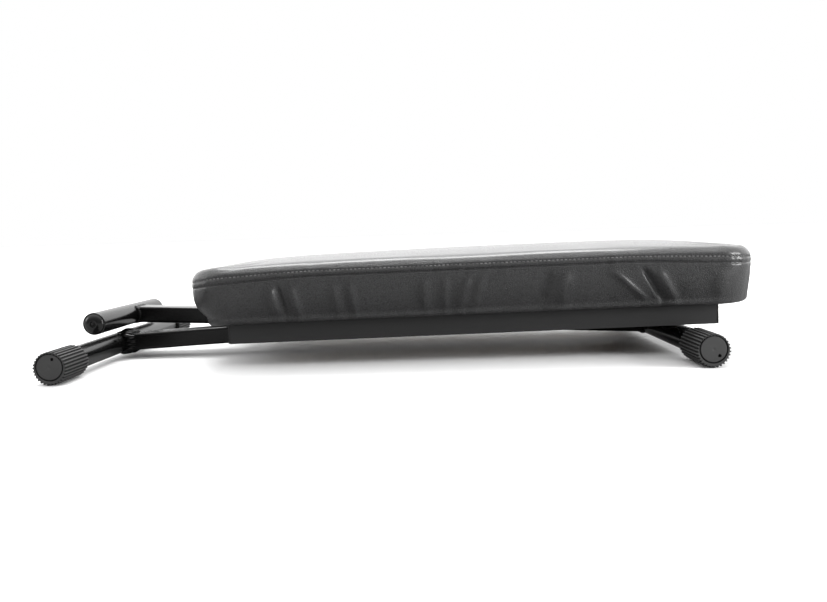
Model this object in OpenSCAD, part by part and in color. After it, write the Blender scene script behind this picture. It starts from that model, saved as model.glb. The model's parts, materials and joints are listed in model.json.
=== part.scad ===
// Folding X-frame piano bench, folded flat and lying on its four rubber foot caps.
// Millimetres, +Z up. +X points to the hinged end of the seat, Y runs along the four cross bars.
// The origin is the middle of the space that the folded bench takes on the floor.

/* [Seat cushion] */
// Width of the cushion at its widest, along X
seat_w = 610; // [480:5:660]
// Depth of the cushion at its widest, along Y
seat_d = 305; // [260:5:400]
// Height of the cushion's flat top over the underside of the board
cushion_h = 62; // [40:0.5:90]
// Height of the widest line, where the side band meets the top panel, over the board's underside
seam_h = 42; // [26:0.5:70]
// How far the side band draws in from the seam to its lower edge
side_taper = 12; // [0:0.5:16]
// How far the top panel draws in from the seam to the flat top
top_taper = 10; // [2:0.5:30]
// Radius of the cushion's corners, seen from above
corner_r = 45; // [25:1:80]
// How far the turned-under cover hangs below the board along the long sides
hem_drop = 6; // [0.5:0.5:9]
// Thickness of the cover, with its backing
cover_t = 1.2; // [0.8:0.1:3]
// Thickness of the plywood board
board_t = 12; // [9:1:18]

/* [Seat rails] */
// Distance from the cushion's end to the rail's end
rail_end_inset = 40; // [20:0.5:80]
// Distance from the cushion's side to the rail's outer face
rail_setback = 22.5; // [16:0.5:40]
// Height of the rail
rail_h = 29; // [18:0.5:29]
// Width of the rail
rail_w = 15; // [14:0.5:25]
// Wall of the rail
rail_wall = 1.5; // [1:0.1:2.5]
// Thickness of the plastic plug's flange on the rail's end
rail_plug_t = 2.2; // [1:0.1:4]

/* [Frame] */
// Leg length, from the foot bar's axis to the top bar's axis
leg_len = 656; // [600:1:820]
// Width of the rectangular leg tube, along Y
leg_w = 30; // [15:1:40]
// Height of the leg tube, across its length
leg_h = 20; // [15:1:25]
// Wall of the leg tubes and of the cross bars
tube_wall = 1.5; // [1:0.1:2]
// Gap between the two leg tubes at the pivot
leg_gap = 14; // [4:0.5:20]
// Diameter of the round cross bars
bar_d = 25.4; // [22:0.1:32]
// Length of the two foot bars, over their rubber caps
foot_span = 420; // [340:5:520]
// Length of the rest bar, over its domed plugs
rest_span = 204; // [150:1:210]
// Clear height between a foot bar and the bar that lies over it when folded
bar_stack_gap = 5.3; // [4:0.1:12]
// Clear height between the hinge bar and the board
hinge_bar_gap = 0.5; // [0.3:0.1:4]
// Distance from the hinge axis to the cushion's end
hinge_inset = 74; // [45:1:120]
// Clear height between the seat and the leg tube that it lies on
seat_rest_gap = 0.9; // [0.4:0.1:3]

/* [Foot caps] */
// Thinnest wall of a foot cap, on the side away from the floor
cap_wall = 2.8; // [2:0.1:6]
// Offset of the foot cap's bore from its outside, which levels the bench as the cap is turned
cap_offset = 1.5; // [0:0.1:3]
// Length of a foot cap
cap_len = 55; // [30:1:80]
// Thickness of a foot cap's end wall
cap_end_t = 5; // [3:0.5:10]
// Number of grip ribs round a foot cap
cap_ribs = 30; // [16:1:48]
// Depth of the grooves between the ribs
rib_depth = 1.2; // [0.4:0.1:1.6]

/* [Height rack] */
// Number of notches, one for each seat height
notch_count = 3; // [2:1:3]
// Distance between two notches
notch_pitch = 32; // [30:0.5:40]
// Distance from the cushion's end to the farthest notch
notch_inset = 36; // [34:1:60]
// How far the teeth reach below the board
tooth_depth = 10; // [7:0.5:14]
// Distance from the middle of the bench to a rack plate
rack_y = 85; // [60:1:90]
// Thickness of the bent plates: racks and hinge brackets
plate_t = 3; // [2:0.5:4]
// Width of the plates' screwed flanges
flange_w = 20; // [16:1:26]

/* [Pivot and hinge] */
// Diameter of the pivot bolt and the two hinge bolts
bolt_d = 8; // [6:1:10]
// Wall of the nylon bushes on the bolts
bush_wall = 2; // [1.2:0.1:3]
// Radius of the hinge bracket's round end
bracket_r = 12; // [10:0.5:13]
// Thickness of the washers
washer_t = 1.6; // [1:0.1:2.5]
// Length of the threaded plugs welded into the hinge bar's ends
insert_len = 14; // [8:1:25]

/* [Screws] */
// Diameter of the screws into the board
screw_d = 5; // [4:0.5:6]
// Diameter of the screw heads
screw_head_d = 10; // [8:0.5:11]
// Height of the screw heads
screw_head_h = 2.8; // [2:0.1:4]

/* [Fits] */
// Radial running clearance of a shaft in a bore
run_fit = 0.05; // [0.02:0.01:0.1]
// Side play between pieces that turn on each other
side_play = 0.2; // [0.1:0.05:0.5]
// Clearance round soft pieces
soft_gap = 0.3; // [0.2:0.1:1]
// Radial clearance of a notch round the rest bar
notch_fit = 0.3; // [0.2:0.1:1]

/* [Hidden] */
$fn = 64;
bar_r = bar_d / 2;
cap_r = bar_r + cap_wall + cap_offset;
foot_z = cap_r + cap_offset;                  // height of the foot bars' axes
rise = bar_d + bar_stack_gap;                 // from a foot bar's axis to the bar above it
fold_angle = asin(rise / leg_len);            // slope of both legs when folded
hinge_drop = bar_r + hinge_bar_gap;           // from the board's underside to the hinge axis
seat_reach = seat_w - hinge_inset;            // from the hinge axis to the far end of the seat
// The seat lies on the back leg's top, just inside its far end, which sets its slope.
leg_top = seat_reach * tan(fold_angle) + leg_h / 2 / cos(fold_angle) - rise;
seat_tilt = atan((hinge_drop - leg_top - seat_rest_gap) / seat_reach);
foot_pitch = leg_len * cos(fold_angle);       // between the two foot bars' axes
seat_end = hinge_inset * cos(seat_tilt) - (hinge_drop + seam_h) * sin(seat_tilt);
total_w = cap_r + foot_pitch + seat_end;
left_x = cap_r - total_w / 2;                 // X of the left foot bar and the rest bar
right_x = left_x + foot_pitch;                // X of the right foot bar and the hinge axis
leg_y = (leg_gap + leg_w) / 2;                // middle of a leg tube, from the middle of the bench
foot_bar_len = foot_span - 2 * (cap_end_t + side_play);
dome_h = 5;                                   // height of a domed plug outside the bar
rest_bar_len = rest_span - 2 * dome_h;
plug_len = 12;                                // how far a domed plug reaches into the bar
bush_r = bolt_d / 2 + run_fit + bush_wall;
head_r = bolt_d * 0.94;                       // corner radius of hexagon heads and nuts
head_h = bolt_d * 0.66;
nut_h = bolt_d;
washer_r = bolt_d;
vent_r = 2;                                   // vent hole beside the weld on a foot bar
vent_y = 69;
rail_y = seat_d / 2 - rail_setback - rail_w / 2;
rail_len = seat_w - 2 * rail_end_inset;
rail_tube_len = rail_len - 2 * rail_plug_t;
mid_x = hinge_inset - seat_w / 2;             // middle of the seat, from the hinge axis
board_x = mid_x;
board_w = seat_w - 2 * (side_taper + cover_t + soft_gap);
board_d = seat_d - 2 * (side_taper + cover_t + soft_gap);
hem_end = 0.3;                                // how far the hem hangs below the board at the seat's ends
roll_h = 4;                                   // height of each step of the rolled top edge
corner_steps = 8;                             // flats round each corner of the cushion
notch_r = bar_r + notch_fit;
notch_z = plate_t + notch_r;                  // depth of a seated rest bar's axis below the board
far_notch = seat_reach - notch_inset;         // from the hinge axis to the farthest notch
near_notch = far_notch - (notch_count - 1) * notch_pitch;
mouth = sqrt(pow(notch_r, 2) - pow(notch_z - tooth_depth, 2));  // half the notch's width at the tips
tooth_end = 6;                                // width of the outermost teeth
// The cover's turned-under hem stops short of the rails and of the racks.
hem_w = min(rail_setback, notch_inset - mouth - tooth_end) - side_taper - 1;
bracket_y = (rest_bar_len - 2 * plate_t) / 2 + plate_t; // inner face of a hinge bracket
hinge_bar_len = 2 * (bracket_y - side_play);
tab_clear = bar_r + 4;                        // tabs start this far from the hinge axis
tab_long = 22;                                // length of the tab towards the seat's middle
tab_short = 14;                               // length of the tab towards the seat's end
strap_h = 8;                                  // height of the bracket's upper strip
screw_bite = board_t - 2;                     // how deep a screw goes into the board
access_r = screw_head_d / 2 + 1;

// ---- Places -------------------------------------------------------------------------------

// The seat's own frame: origin on the hinge axis, X along the board, Z square to it.
module on_seat() {
    translate([right_x, 0, foot_z + rise]) rotate([0, -seat_tilt, 0]) children();
}

// The front leg's frame: origin on the left foot bar's axis, X up along the leg.
module on_front_leg() {
    translate([left_x, 0, foot_z]) rotate([0, -fold_angle, 0]) children();
}

// The back leg's frame: origin on the right foot bar's axis, -X up along the leg.
module on_back_leg() {
    translate([right_x, 0, foot_z]) rotate([0, fold_angle, 0]) children();
}

module at_pivot() {
    on_front_leg() translate([leg_len / 2, 0, 0]) children();
}

// ---- Shapes -------------------------------------------------------------------------------

// A round rod along Y, from y0 to y1
module rod(r, y0, y1) {
    translate([0, y0, 0]) rotate([-90, 0, 0]) cylinder(r = r, h = y1 - y0);
}

module ring(r_out, r_in, y0, y1) {
    difference() {
        rod(r_out, y0, y1);
        rod(r_in, y0 - 1, y1 + 1);
    }
}

// A hexagon head or nut along Y
module hexagon(r, y0, y1) {
    translate([0, y0, 0]) rotate([-90, 0, 0]) cylinder(r = r, h = y1 - y0, $fn = 6);
}

// An open round tube along Y, centred
module cross_bar(len) {
    ring(bar_r, bar_r - tube_wall, -len / 2, len / 2);
}

// A rectangle with round corners, made of plain squares and circles
module round_rect(w, d, r) {
    square([w - 2 * r, d], center = true);
    square([w, d - 2 * r], center = true);
    for (sx = [-1, 1], sy = [-1, 1]) translate([sx * (w / 2 - r), sy * (d / 2 - r)]) circle(r = r);
}

// One level of the cushion: its outline drawn in by inset at height z over the board's underside.
// drop lowers it along the long sides and fades to nothing round the corners.
function cushion_ring(level) = [
    for (c = [0 : 3], k = [0 : corner_steps])
        let (a = 90 * (c + k / corner_steps),
             sx = c == 0 || c == 3 ? 1 : -1,
             sy = c < 2 ? 1 : -1,
             r = corner_r - level[0])
        [mid_x + sx * (seat_w / 2 - corner_r) + r * cos(a),
         sy * (seat_d / 2 - corner_r) + r * sin(a),
         hinge_drop + level[1] - level[2] * pow(sin(a), 2)]];

// A closed solid through levels of [inset, z, drop], capped at the first and the last
module ringed_solid(levels) {
    n = 4 * (corner_steps + 1);
    last = len(levels) - 1;
    points = [for (level = levels) each cushion_ring(level)];
    walls = [for (i = [0 : last - 1], j = [0 : n - 1]) let (k = (j + 1) % n) each [
        [i * n + j, (i + 1) * n + j, (i + 1) * n + k],
        [i * n + j, (i + 1) * n + k, i * n + k]]];
    polyhedron(points = points, faces = concat(walls,
        [[for (j = [0 : n - 1]) j]],
        [[for (j = [n - 1 : -1 : 0]) last * n + j]]));
}

// A rectangular leg tube from x0 to x1, coped round the bars at both ends, with the pivot's cross hole
module leg_tube(x0, x1, y) {
    difference() {
        translate([x0, y - leg_w / 2, -leg_h / 2]) cube([x1 - x0, leg_w, leg_h]);
        translate([x0 - 1, y - leg_w / 2 + tube_wall, -leg_h / 2 + tube_wall])
            cube([x1 - x0 + 2, leg_w - 2 * tube_wall, leg_h - 2 * tube_wall]);
        for (x = [x0, x1]) translate([x, y, 0]) rod(bar_r, -leg_w, leg_w);
        translate([(x0 + x1) / 2, y, 0]) rod(bush_r + run_fit, -leg_w, leg_w);
    }
}

// A foot bar with its vent hole, which faces along X at the given side and upwards
module foot_bar(side) {
    difference() {
        cross_bar(foot_bar_len);
        translate([0, -vent_y, 0]) rotate([0, side * 60, 0]) cylinder(r = vent_r, h = bar_d);
    }
}

// A ribbed foot cap: the bore is on the bar's axis, the outside hangs below it by the offset
module foot_cap(side) {
    step = 360 / cap_ribs;
    low = cap_r - rib_depth;
    outline = [for (i = [0 : cap_ribs - 1]) for (p = [
        [low, 0], [low, 0.42], [cap_r, 0.56], [cap_r, 0.86]
    ]) p[0] * [cos((i + p[1]) * step), sin((i + p[1]) * step)]];
    mirror([0, side > 0 ? 0 : 1, 0]) difference() {
        translate([0, foot_span / 2 - cap_len, -cap_offset]) rotate([-90, 0, 0])
            linear_extrude(cap_len) polygon(outline);
        rod(bar_r + run_fit, foot_span / 2 - cap_len - 1, foot_span / 2 - cap_end_t);
    }
}

// A domed plug in a bar's end: a domed flange with a small dimple, and a spigot in the bar
module domed_plug(side) {
    spigot_r = bar_r - tube_wall - run_fit;
    mirror([0, side > 0 ? 0 : 1, 0]) translate([0, rest_bar_len / 2, 0]) rotate([-90, 0, 0])
        difference() {
            rotate_extrude() polygon(concat(
                [[0, -plug_len], [spigot_r, -plug_len], [spigot_r, 0], [bar_r, 0]],
                [for (i = [0 : 8]) let (a = 90 * i / 8)
                    [bar_r * cos(a), 1 + (dome_h - 1) * sin(a)]]));
            translate([0, 0, dome_h - 1.2]) cylinder(r = 2.2, h = 2);
        }
}

// A pan-head screw pointing up into the board, its head's seat at z = 0
module board_screw(grip) {
    translate([0, 0, -screw_head_h]) cylinder(d = screw_head_d, h = screw_head_h);
    cylinder(d = screw_d, h = grip + screw_bite);
}

// ---- Screw places, from the hinge axis ----------------------------------------------------

rail_screw_x = [for (s = [-1, 0, 1]) mid_x + s * (rail_len / 2 - 48)];
rack_screw_x = [for (i = [0 : notch_count - 2]) -far_notch + (i + 0.5) * notch_pitch];
bracket_screw_x = [-(tab_clear + tab_long / 2), tab_clear + tab_short / 2];
tab_screw_y = bracket_y - flange_w / 2;
rack_screw_y = rack_y - plate_t / 2 - flange_w / 2;

// Every screw into the board, as [x, y] on its underside
board_holes = concat(
    [for (x = rail_screw_x, s = [-1, 1]) [x, s * rail_y]],
    [for (x = rack_screw_x, s = [-1, 1]) [x, s * rack_screw_y]],
    [for (x = bracket_screw_x, s = [-1, 1]) [x, s * tab_screw_y]]);

// ---- Seat ---------------------------------------------------------------------------------

// The cover: up its inside from the hem's edge, over, and down its outside to the hem
module seat_cover() {
    color([0.16, 0.16, 0.165]) on_seat() ringed_solid([
        [top_taper + cover_t, cushion_h - cover_t, 0],
        [top_taper / 2 + cover_t, cushion_h - roll_h - cover_t, 0],
        [cover_t, seam_h + roll_h, 0],
        [cover_t, seam_h, 0],
        [side_taper + cover_t, 0, 0],
        [side_taper + hem_w, 0, 0],
        [side_taper + hem_w, -hem_end, hem_drop - hem_end],
        [side_taper, -hem_end, hem_drop - hem_end],
        [0, seam_h, 0],
        [0, seam_h + roll_h, 0],
        [top_taper / 2, cushion_h - roll_h, 0],
        [top_taper, cushion_h, 0]]);
}

module seat_foam() {
    skin = cover_t + soft_gap;
    foot = board_t + soft_gap;
    color([0.85, 0.8, 0.6]) on_seat() ringed_solid([
        [side_taper * (1 - foot / seam_h) + skin, foot, 0],
        [skin, seam_h, 0],
        [skin, seam_h + roll_h, 0],
        [top_taper / 2 + skin, cushion_h - roll_h - skin, 0],
        [top_taper + skin, cushion_h - skin, 0]]);
}

module seat_board() {
    color([0.66, 0.5, 0.32]) on_seat() translate([0, 0, hinge_drop]) difference() {
        translate([board_x, 0, 0]) linear_extrude(board_t)
            round_rect(board_w, board_d, corner_r - side_taper);
        for (p = board_holes) translate([p[0], p[1], -1])
            cylinder(d = screw_d + 2 * run_fit, h = screw_bite + 1 + side_play);
    }
}

// One seat rail: a closed tube with a screw hole above and an access hole below at each screw
module seat_rail(side) {
    on_seat() translate([mid_x, side * rail_y, hinge_drop - rail_h]) difference() {
        translate([-rail_tube_len / 2, -rail_w / 2, 0]) cube([rail_tube_len, rail_w, rail_h]);
        translate([-rail_tube_len / 2 - 1, -rail_w / 2 + rail_wall, rail_wall])
            cube([rail_tube_len + 2, rail_w - 2 * rail_wall, rail_h - 2 * rail_wall]);
        for (x = rail_screw_x) translate([x - mid_x, 0, 0]) {
            translate([0, 0, -1]) cylinder(r = min(access_r, rail_w / 2 - 0.5), h = rail_wall + 2);
            translate([0, 0, rail_h - rail_wall - 1])
                cylinder(d = screw_d + 2 * run_fit, h = rail_wall + 2);
        }
    }
}

module rail_front() { color([0.13, 0.13, 0.135]) seat_rail(-1); }
module rail_back() { color([0.13, 0.13, 0.135]) seat_rail(1); }

// Four plugs: a flange the size of the rail's section, and a spigot in the rail
module rail_end_plugs() {
    spigot_w = rail_w - 2 * rail_wall - 2 * run_fit;
    spigot_h = rail_h - 2 * rail_wall - 2 * run_fit;
    color([0.07, 0.07, 0.07]) on_seat() for (sy = [-1, 1], sx = [-1, 1])
        translate([mid_x, sy * rail_y, hinge_drop - rail_h / 2]) mirror([sx > 0 ? 0 : 1, 0, 0])
            translate([rail_tube_len / 2, 0, 0]) {
                translate([0, -rail_w / 2, -rail_h / 2]) cube([rail_plug_t, rail_w, rail_h]);
                translate([-plug_len, -spigot_w / 2, -spigot_h / 2])
                    cube([plug_len, spigot_w, spigot_h]);
            }
}

module rail_screws() {
    color([0.55, 0.55, 0.57]) on_seat() for (x = rail_screw_x, s = [-1, 1])
        translate([x, s * rail_y, hinge_drop - rail_wall]) board_screw(rail_wall);
}

// A hinge bracket: an ear with a round end on the hinge axis, and two screwed tabs
module hinge_bracket(side) {
    on_seat() mirror([0, side > 0 ? 0 : 1, 0]) difference() {
        union() {
            translate([-tab_clear - tab_long, bracket_y, hinge_drop - strap_h])
                cube([2 * tab_clear + tab_long + tab_short, plate_t, strap_h]);
            translate([-bracket_r, bracket_y, 0]) cube([2 * bracket_r, plate_t, hinge_drop]);
            rod(bracket_r, bracket_y, bracket_y + plate_t);
            for (t = [[-tab_clear - tab_long, tab_long], [tab_clear, tab_short]])
                translate([t[0], bracket_y + plate_t - flange_w - plate_t, hinge_drop - plate_t])
                    cube([t[1], flange_w + plate_t, plate_t]);
        }
        rod(bush_r + run_fit, bracket_y - 1, bracket_y + plate_t + 1);
        for (x = bracket_screw_x) translate([x, tab_screw_y, hinge_drop - plate_t - 1])
            cylinder(d = screw_d + 2 * run_fit, h = plate_t + 2);
    }
}

module hinge_bracket_front() { color([0.1, 0.1, 0.105]) hinge_bracket(-1); }
module hinge_bracket_back() { color([0.1, 0.1, 0.105]) hinge_bracket(1); }

module bracket_screws() {
    color([0.55, 0.55, 0.57]) on_seat() for (x = bracket_screw_x, s = [-1, 1])
        translate([x, s * tab_screw_y, hinge_drop - plate_t]) board_screw(plate_t);
}

// A height rack: a flange under the board and a toothed plate, cut by one round notch per height
module height_rack(side) {
    rack_left = -far_notch - mouth - tooth_end;
    rack_right = -near_notch + mouth + tooth_end;
    on_seat() mirror([0, side > 0 ? 0 : 1, 0]) difference() {
        union() {
            translate([rack_left, rack_y - plate_t / 2, hinge_drop - tooth_depth])
                cube([rack_right - rack_left, plate_t, tooth_depth]);
            translate([rack_left, rack_y - plate_t / 2 - flange_w, hinge_drop - plate_t])
                cube([rack_right - rack_left, flange_w + plate_t / 2, plate_t]);
        }
        for (i = [0 : notch_count - 1])
            translate([-far_notch + i * notch_pitch, 0, hinge_drop - notch_z])
                rod(notch_r, rack_y - plate_t, rack_y + plate_t);
        for (x = rack_screw_x) translate([x, rack_screw_y, hinge_drop - plate_t - 1])
            cylinder(d = screw_d + 2 * run_fit, h = plate_t + 2);
    }
}

module height_rack_front() { color([0.1, 0.1, 0.105]) height_rack(-1); }
module height_rack_back() { color([0.1, 0.1, 0.105]) height_rack(1); }

module rack_screws() {
    color([0.55, 0.55, 0.57]) on_seat() for (x = rack_screw_x, s = [-1, 1])
        translate([x, s * rack_screw_y, hinge_drop - plate_t]) board_screw(plate_t);
}

// ---- Hinge --------------------------------------------------------------------------------

// A nylon bush pressed into the bracket's bore; it turns on the hinge bolt
module hinge_bush(side) {
    on_seat() mirror([0, side > 0 ? 0 : 1, 0])
        ring(bush_r, bolt_d / 2 + run_fit, bracket_y, bracket_y + plate_t);
}

module hinge_bush_front() { color([0.85, 0.85, 0.8]) hinge_bush(-1); }
module hinge_bush_back() { color([0.85, 0.85, 0.8]) hinge_bush(1); }

module hinge_bar() {
    color([0.06, 0.06, 0.062]) on_front_leg() translate([leg_len, 0, 0]) cross_bar(hinge_bar_len);
}

// Two threaded plugs welded into the hinge bar's ends
module hinge_bar_inserts() {
    color([0.4, 0.4, 0.42]) on_front_leg() translate([leg_len, 0, 0]) for (s = [0, 1])
        mirror([0, s, 0]) ring(bar_r - tube_wall, bolt_d / 2,
            hinge_bar_len / 2 - insert_len, hinge_bar_len / 2);
}

// A hinge bolt: its shank passes the bracket's bush and is screwed into the bar's insert
module hinge_bolt(side) {
    head_y = bracket_y + plate_t + side_play;
    on_front_leg() translate([leg_len, 0, 0]) mirror([0, side > 0 ? 0 : 1, 0]) {
        rod(bolt_d / 2, hinge_bar_len / 2 - insert_len, head_y + washer_t);
        ring(washer_r, bolt_d / 2, head_y, head_y + washer_t);
        hexagon(head_r, head_y + washer_t, head_y + washer_t + head_h);
    }
}

module hinge_bolt_front() { color([0.5, 0.5, 0.52]) hinge_bolt(-1); }
module hinge_bolt_back() { color([0.5, 0.5, 0.52]) hinge_bolt(1); }

// ---- Legs ---------------------------------------------------------------------------------

module leg_tube_front() {
    color([0.06, 0.06, 0.062]) on_front_leg() leg_tube(0, leg_len, -leg_y);
}

module foot_bar_left() { color([0.06, 0.06, 0.062]) on_front_leg() foot_bar(1); }

module leg_tube_back() {
    color([0.06, 0.06, 0.062]) on_back_leg() leg_tube(-leg_len, 0, leg_y);
}

module foot_bar_right() { color([0.06, 0.06, 0.062]) on_back_leg() foot_bar(-1); }

module rest_bar() {
    color([0.06, 0.06, 0.062]) on_back_leg() translate([-leg_len, 0, 0]) cross_bar(rest_bar_len);
}

module rest_bar_plug_front() {
    color([0.1, 0.1, 0.1]) on_back_leg() translate([-leg_len, 0, 0]) domed_plug(-1);
}

module rest_bar_plug_back() {
    color([0.1, 0.1, 0.1]) on_back_leg() translate([-leg_len, 0, 0]) domed_plug(1);
}

// ---- Pivot, from the front: head, washer, front leg, spacer, back leg, washer, nut --------

stack_front = -leg_gap / 2 - leg_w;
stack_back = leg_gap / 2 + leg_w + side_play;

module pivot_bolt() {
    head_y = stack_front - washer_t;
    color([0.5, 0.5, 0.52]) at_pivot() {
        rod(bolt_d / 2, head_y, stack_back + washer_t + nut_h + 1.5);
        hexagon(head_r, head_y - head_h, head_y);
    }
}

module pivot_nut() {
    nut_y = stack_back + washer_t;
    color([0.5, 0.5, 0.52]) at_pivot() difference() {
        hexagon(head_r, nut_y, nut_y + nut_h);
        rod(bolt_d / 2, nut_y - 1, nut_y + nut_h + 1);
    }
}

module pivot_washer_front() {
    color([0.55, 0.55, 0.57]) at_pivot()
        ring(washer_r, bolt_d / 2, stack_front - washer_t, stack_front);
}

module pivot_washer_back() {
    color([0.55, 0.55, 0.57]) at_pivot()
        ring(washer_r, bolt_d / 2, stack_back, stack_back + washer_t);
}

// A nylon spacer that keeps the two legs apart
module pivot_spacer() {
    color([0.08, 0.08, 0.08]) at_pivot()
        ring(washer_r + 2, bolt_d / 2, -leg_gap / 2, leg_gap / 2 - side_play);
}

// A bush through a leg tube, round the bolt
module pivot_bush(side) {
    at_pivot() ring(bush_r, bolt_d / 2 + run_fit, side * leg_y - leg_w / 2, side * leg_y + leg_w / 2);
}

module pivot_bush_front() { color([0.85, 0.85, 0.8]) pivot_bush(-1); }
module pivot_bush_back() { color([0.85, 0.85, 0.8]) pivot_bush(1); }

// ---- Foot caps ----------------------------------------------------------------------------

module left_cap(side) { translate([left_x, 0, foot_z]) foot_cap(side); }
module right_cap(side) { translate([right_x, 0, foot_z]) foot_cap(side); }

module foot_cap_left_front() { color([0.2, 0.2, 0.205]) left_cap(-1); }
module foot_cap_left_back() { color([0.2, 0.2, 0.205]) left_cap(1); }
module foot_cap_right_front() { color([0.2, 0.2, 0.205]) right_cap(-1); }
module foot_cap_right_back() { color([0.2, 0.2, 0.205]) right_cap(1); }

// ---- Output -------------------------------------------------------------------------------

seat_cover();
seat_foam();
seat_board();
rail_front();
rail_back();
rail_end_plugs();
rail_screws();
hinge_bracket_front();
hinge_bracket_back();
bracket_screws();
height_rack_front();
height_rack_back();
rack_screws();
hinge_bush_front();
hinge_bush_back();
leg_tube_front();
foot_bar_left();
hinge_bar();
hinge_bar_inserts();
hinge_bolt_front();
hinge_bolt_back();
leg_tube_back();
foot_bar_right();
rest_bar();
rest_bar_plug_front();
rest_bar_plug_back();
pivot_bolt();
pivot_nut();
pivot_washer_front();
pivot_washer_back();
pivot_spacer();
pivot_bush_front();
pivot_bush_back();
foot_cap_left_front();
foot_cap_left_back();
foot_cap_right_front();
foot_cap_right_back();
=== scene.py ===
"""Looks of a folding piano bench, folded flat: upholstered seat, tube frame, caps, plugs and fasteners.

Settings are in metres. Shape functions work in millimetres in a place of their own: the seat and each leg
has one, with X along the piece, Y across it and Z square to it.
"""

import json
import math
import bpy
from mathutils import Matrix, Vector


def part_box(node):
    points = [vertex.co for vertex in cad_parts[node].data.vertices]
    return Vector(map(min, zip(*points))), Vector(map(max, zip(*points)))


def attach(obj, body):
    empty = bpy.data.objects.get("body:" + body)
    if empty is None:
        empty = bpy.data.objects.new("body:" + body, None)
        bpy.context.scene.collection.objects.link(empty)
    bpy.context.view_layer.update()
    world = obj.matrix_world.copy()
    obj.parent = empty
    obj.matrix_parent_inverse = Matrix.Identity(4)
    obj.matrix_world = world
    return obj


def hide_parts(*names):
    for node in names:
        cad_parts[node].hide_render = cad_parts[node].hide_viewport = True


bl_info = {
    "name": "Folding piano bench",
    "version": (1, 0, 0),
    "blender": (4, 5, 0),
    "location": "View3D > Sidebar > Bench",
    "description": "Builds the upholstery, tubes, caps and fasteners of a folding piano bench",
    "category": "Object",
}

import bmesh
import bpy
import numpy as np
from bpy.props import FloatProperty, FloatVectorProperty, IntProperty, PointerProperty
from mathutils import Matrix, Vector

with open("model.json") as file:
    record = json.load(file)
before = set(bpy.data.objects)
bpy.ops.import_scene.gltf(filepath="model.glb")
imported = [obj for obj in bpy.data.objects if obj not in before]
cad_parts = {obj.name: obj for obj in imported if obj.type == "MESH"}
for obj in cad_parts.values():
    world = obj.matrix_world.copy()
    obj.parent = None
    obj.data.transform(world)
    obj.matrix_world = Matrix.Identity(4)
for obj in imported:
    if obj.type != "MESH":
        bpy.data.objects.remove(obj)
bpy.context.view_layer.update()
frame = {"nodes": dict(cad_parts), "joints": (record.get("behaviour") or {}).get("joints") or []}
JOINTS = {joint["name"]: joint for joint in frame["joints"]}


# ---- Places -------------------------------------------------------------------------------


class Place:
    """A local frame: an origin in metres and a slope about Y, in which shapes are drawn in millimetres."""

    def __init__(self, origin, slope=0.0):
        c, s = math.cos(slope), math.sin(slope)
        self.origin = np.array(origin, float)
        self.axes = np.array([[c, 0, s], [0, 1, 0], [-s, 0, c]])

    def world(self, points):
        """Local millimetres to shared metres: the coordinates times the sloped axes, added to the origin."""
        return self.origin + np.asarray(points, float) @ self.axes / 1000

    def box(self, node):
        """Lowest and highest corner of a CAD node in this place, in millimetres."""
        points = self.vertices(node)
        return points.min(0), points.max(0)

    def vertices(self, node):
        """A CAD node's vertices in this place, in millimetres."""
        mesh = frame["nodes"][node].data
        co = np.empty(len(mesh.vertices) * 3)
        mesh.vertices.foreach_get("co", co)
        return (co.reshape(-1, 3) - self.origin) * 1000 @ self.axes.T


def board_slope():
    """Slope of the seat's board, from the area-weighted normal of its upward faces."""
    mesh = frame["nodes"]["seat_board"].data
    normals, areas = np.empty(len(mesh.polygons) * 3), np.empty(len(mesh.polygons))
    mesh.polygons.foreach_get("normal", normals)
    mesh.polygons.foreach_get("area", areas)
    normals = normals.reshape(-1, 3)
    up = (normals * areas[:, None])[normals[:, 2] > 0.9].sum(0)
    return math.atan2(-up[0], up[2])


LEFT_AXIS = np.array(JOINTS["fold"]["pos_m"])
HINGE_AXIS = np.array(JOINTS["seat_hinge"]["pos_m"])
RIGHT_AXIS = np.array(JOINTS["right_front_level"]["pos_m"]) * [1, 0, 1]
LEG_RUN = HINGE_AXIS - LEFT_AXIS
LEG_SLOPE = math.atan2(LEG_RUN[2], LEG_RUN[0])
LEG_LENGTH = 1000 * float(np.hypot(LEG_RUN[0], LEG_RUN[2]))
SEAT = Place(HINGE_AXIS, board_slope())
FRONT_LEG = Place(LEFT_AXIS, LEG_SLOPE)
BACK_LEG = Place(RIGHT_AXIS, -LEG_SLOPE)
BOARD = SEAT.box("seat_board")
COVER = SEAT.box("seat_cover")
PLANE = BOARD[0][2]
MIDDLE = (COVER[0][0] + COVER[1][0]) / 2
BAR_RADIUS = (FRONT_LEG.box("hinge_bar")[1][2] - FRONT_LEG.box("hinge_bar")[0][2]) / 2


# ---- Settings -----------------------------------------------------------------------------


def length(name, text, millimetres, low=0.0, high=2000.0):
    """A length setting, kept in metres."""
    return FloatProperty(name=name, description=text, default=millimetres / 1000, min=low / 1000,
                         max=high / 1000, precision=5, subtype="DISTANCE", unit="LENGTH")


def tone(name, text, grey, tint=1.0):
    """A colour setting: a linear grey, with its blue scaled by a tint."""
    return FloatVectorProperty(name=name, description=text, default=(grey, grey, min(grey * tint, 1)),
                               min=0, max=1, size=3, subtype="COLOR")


def share(name, text, value, high=1.0):
    """A setting between zero and a highest value."""
    return FloatProperty(name=name, description=text, default=value, min=0, max=high, subtype="FACTOR")


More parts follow.
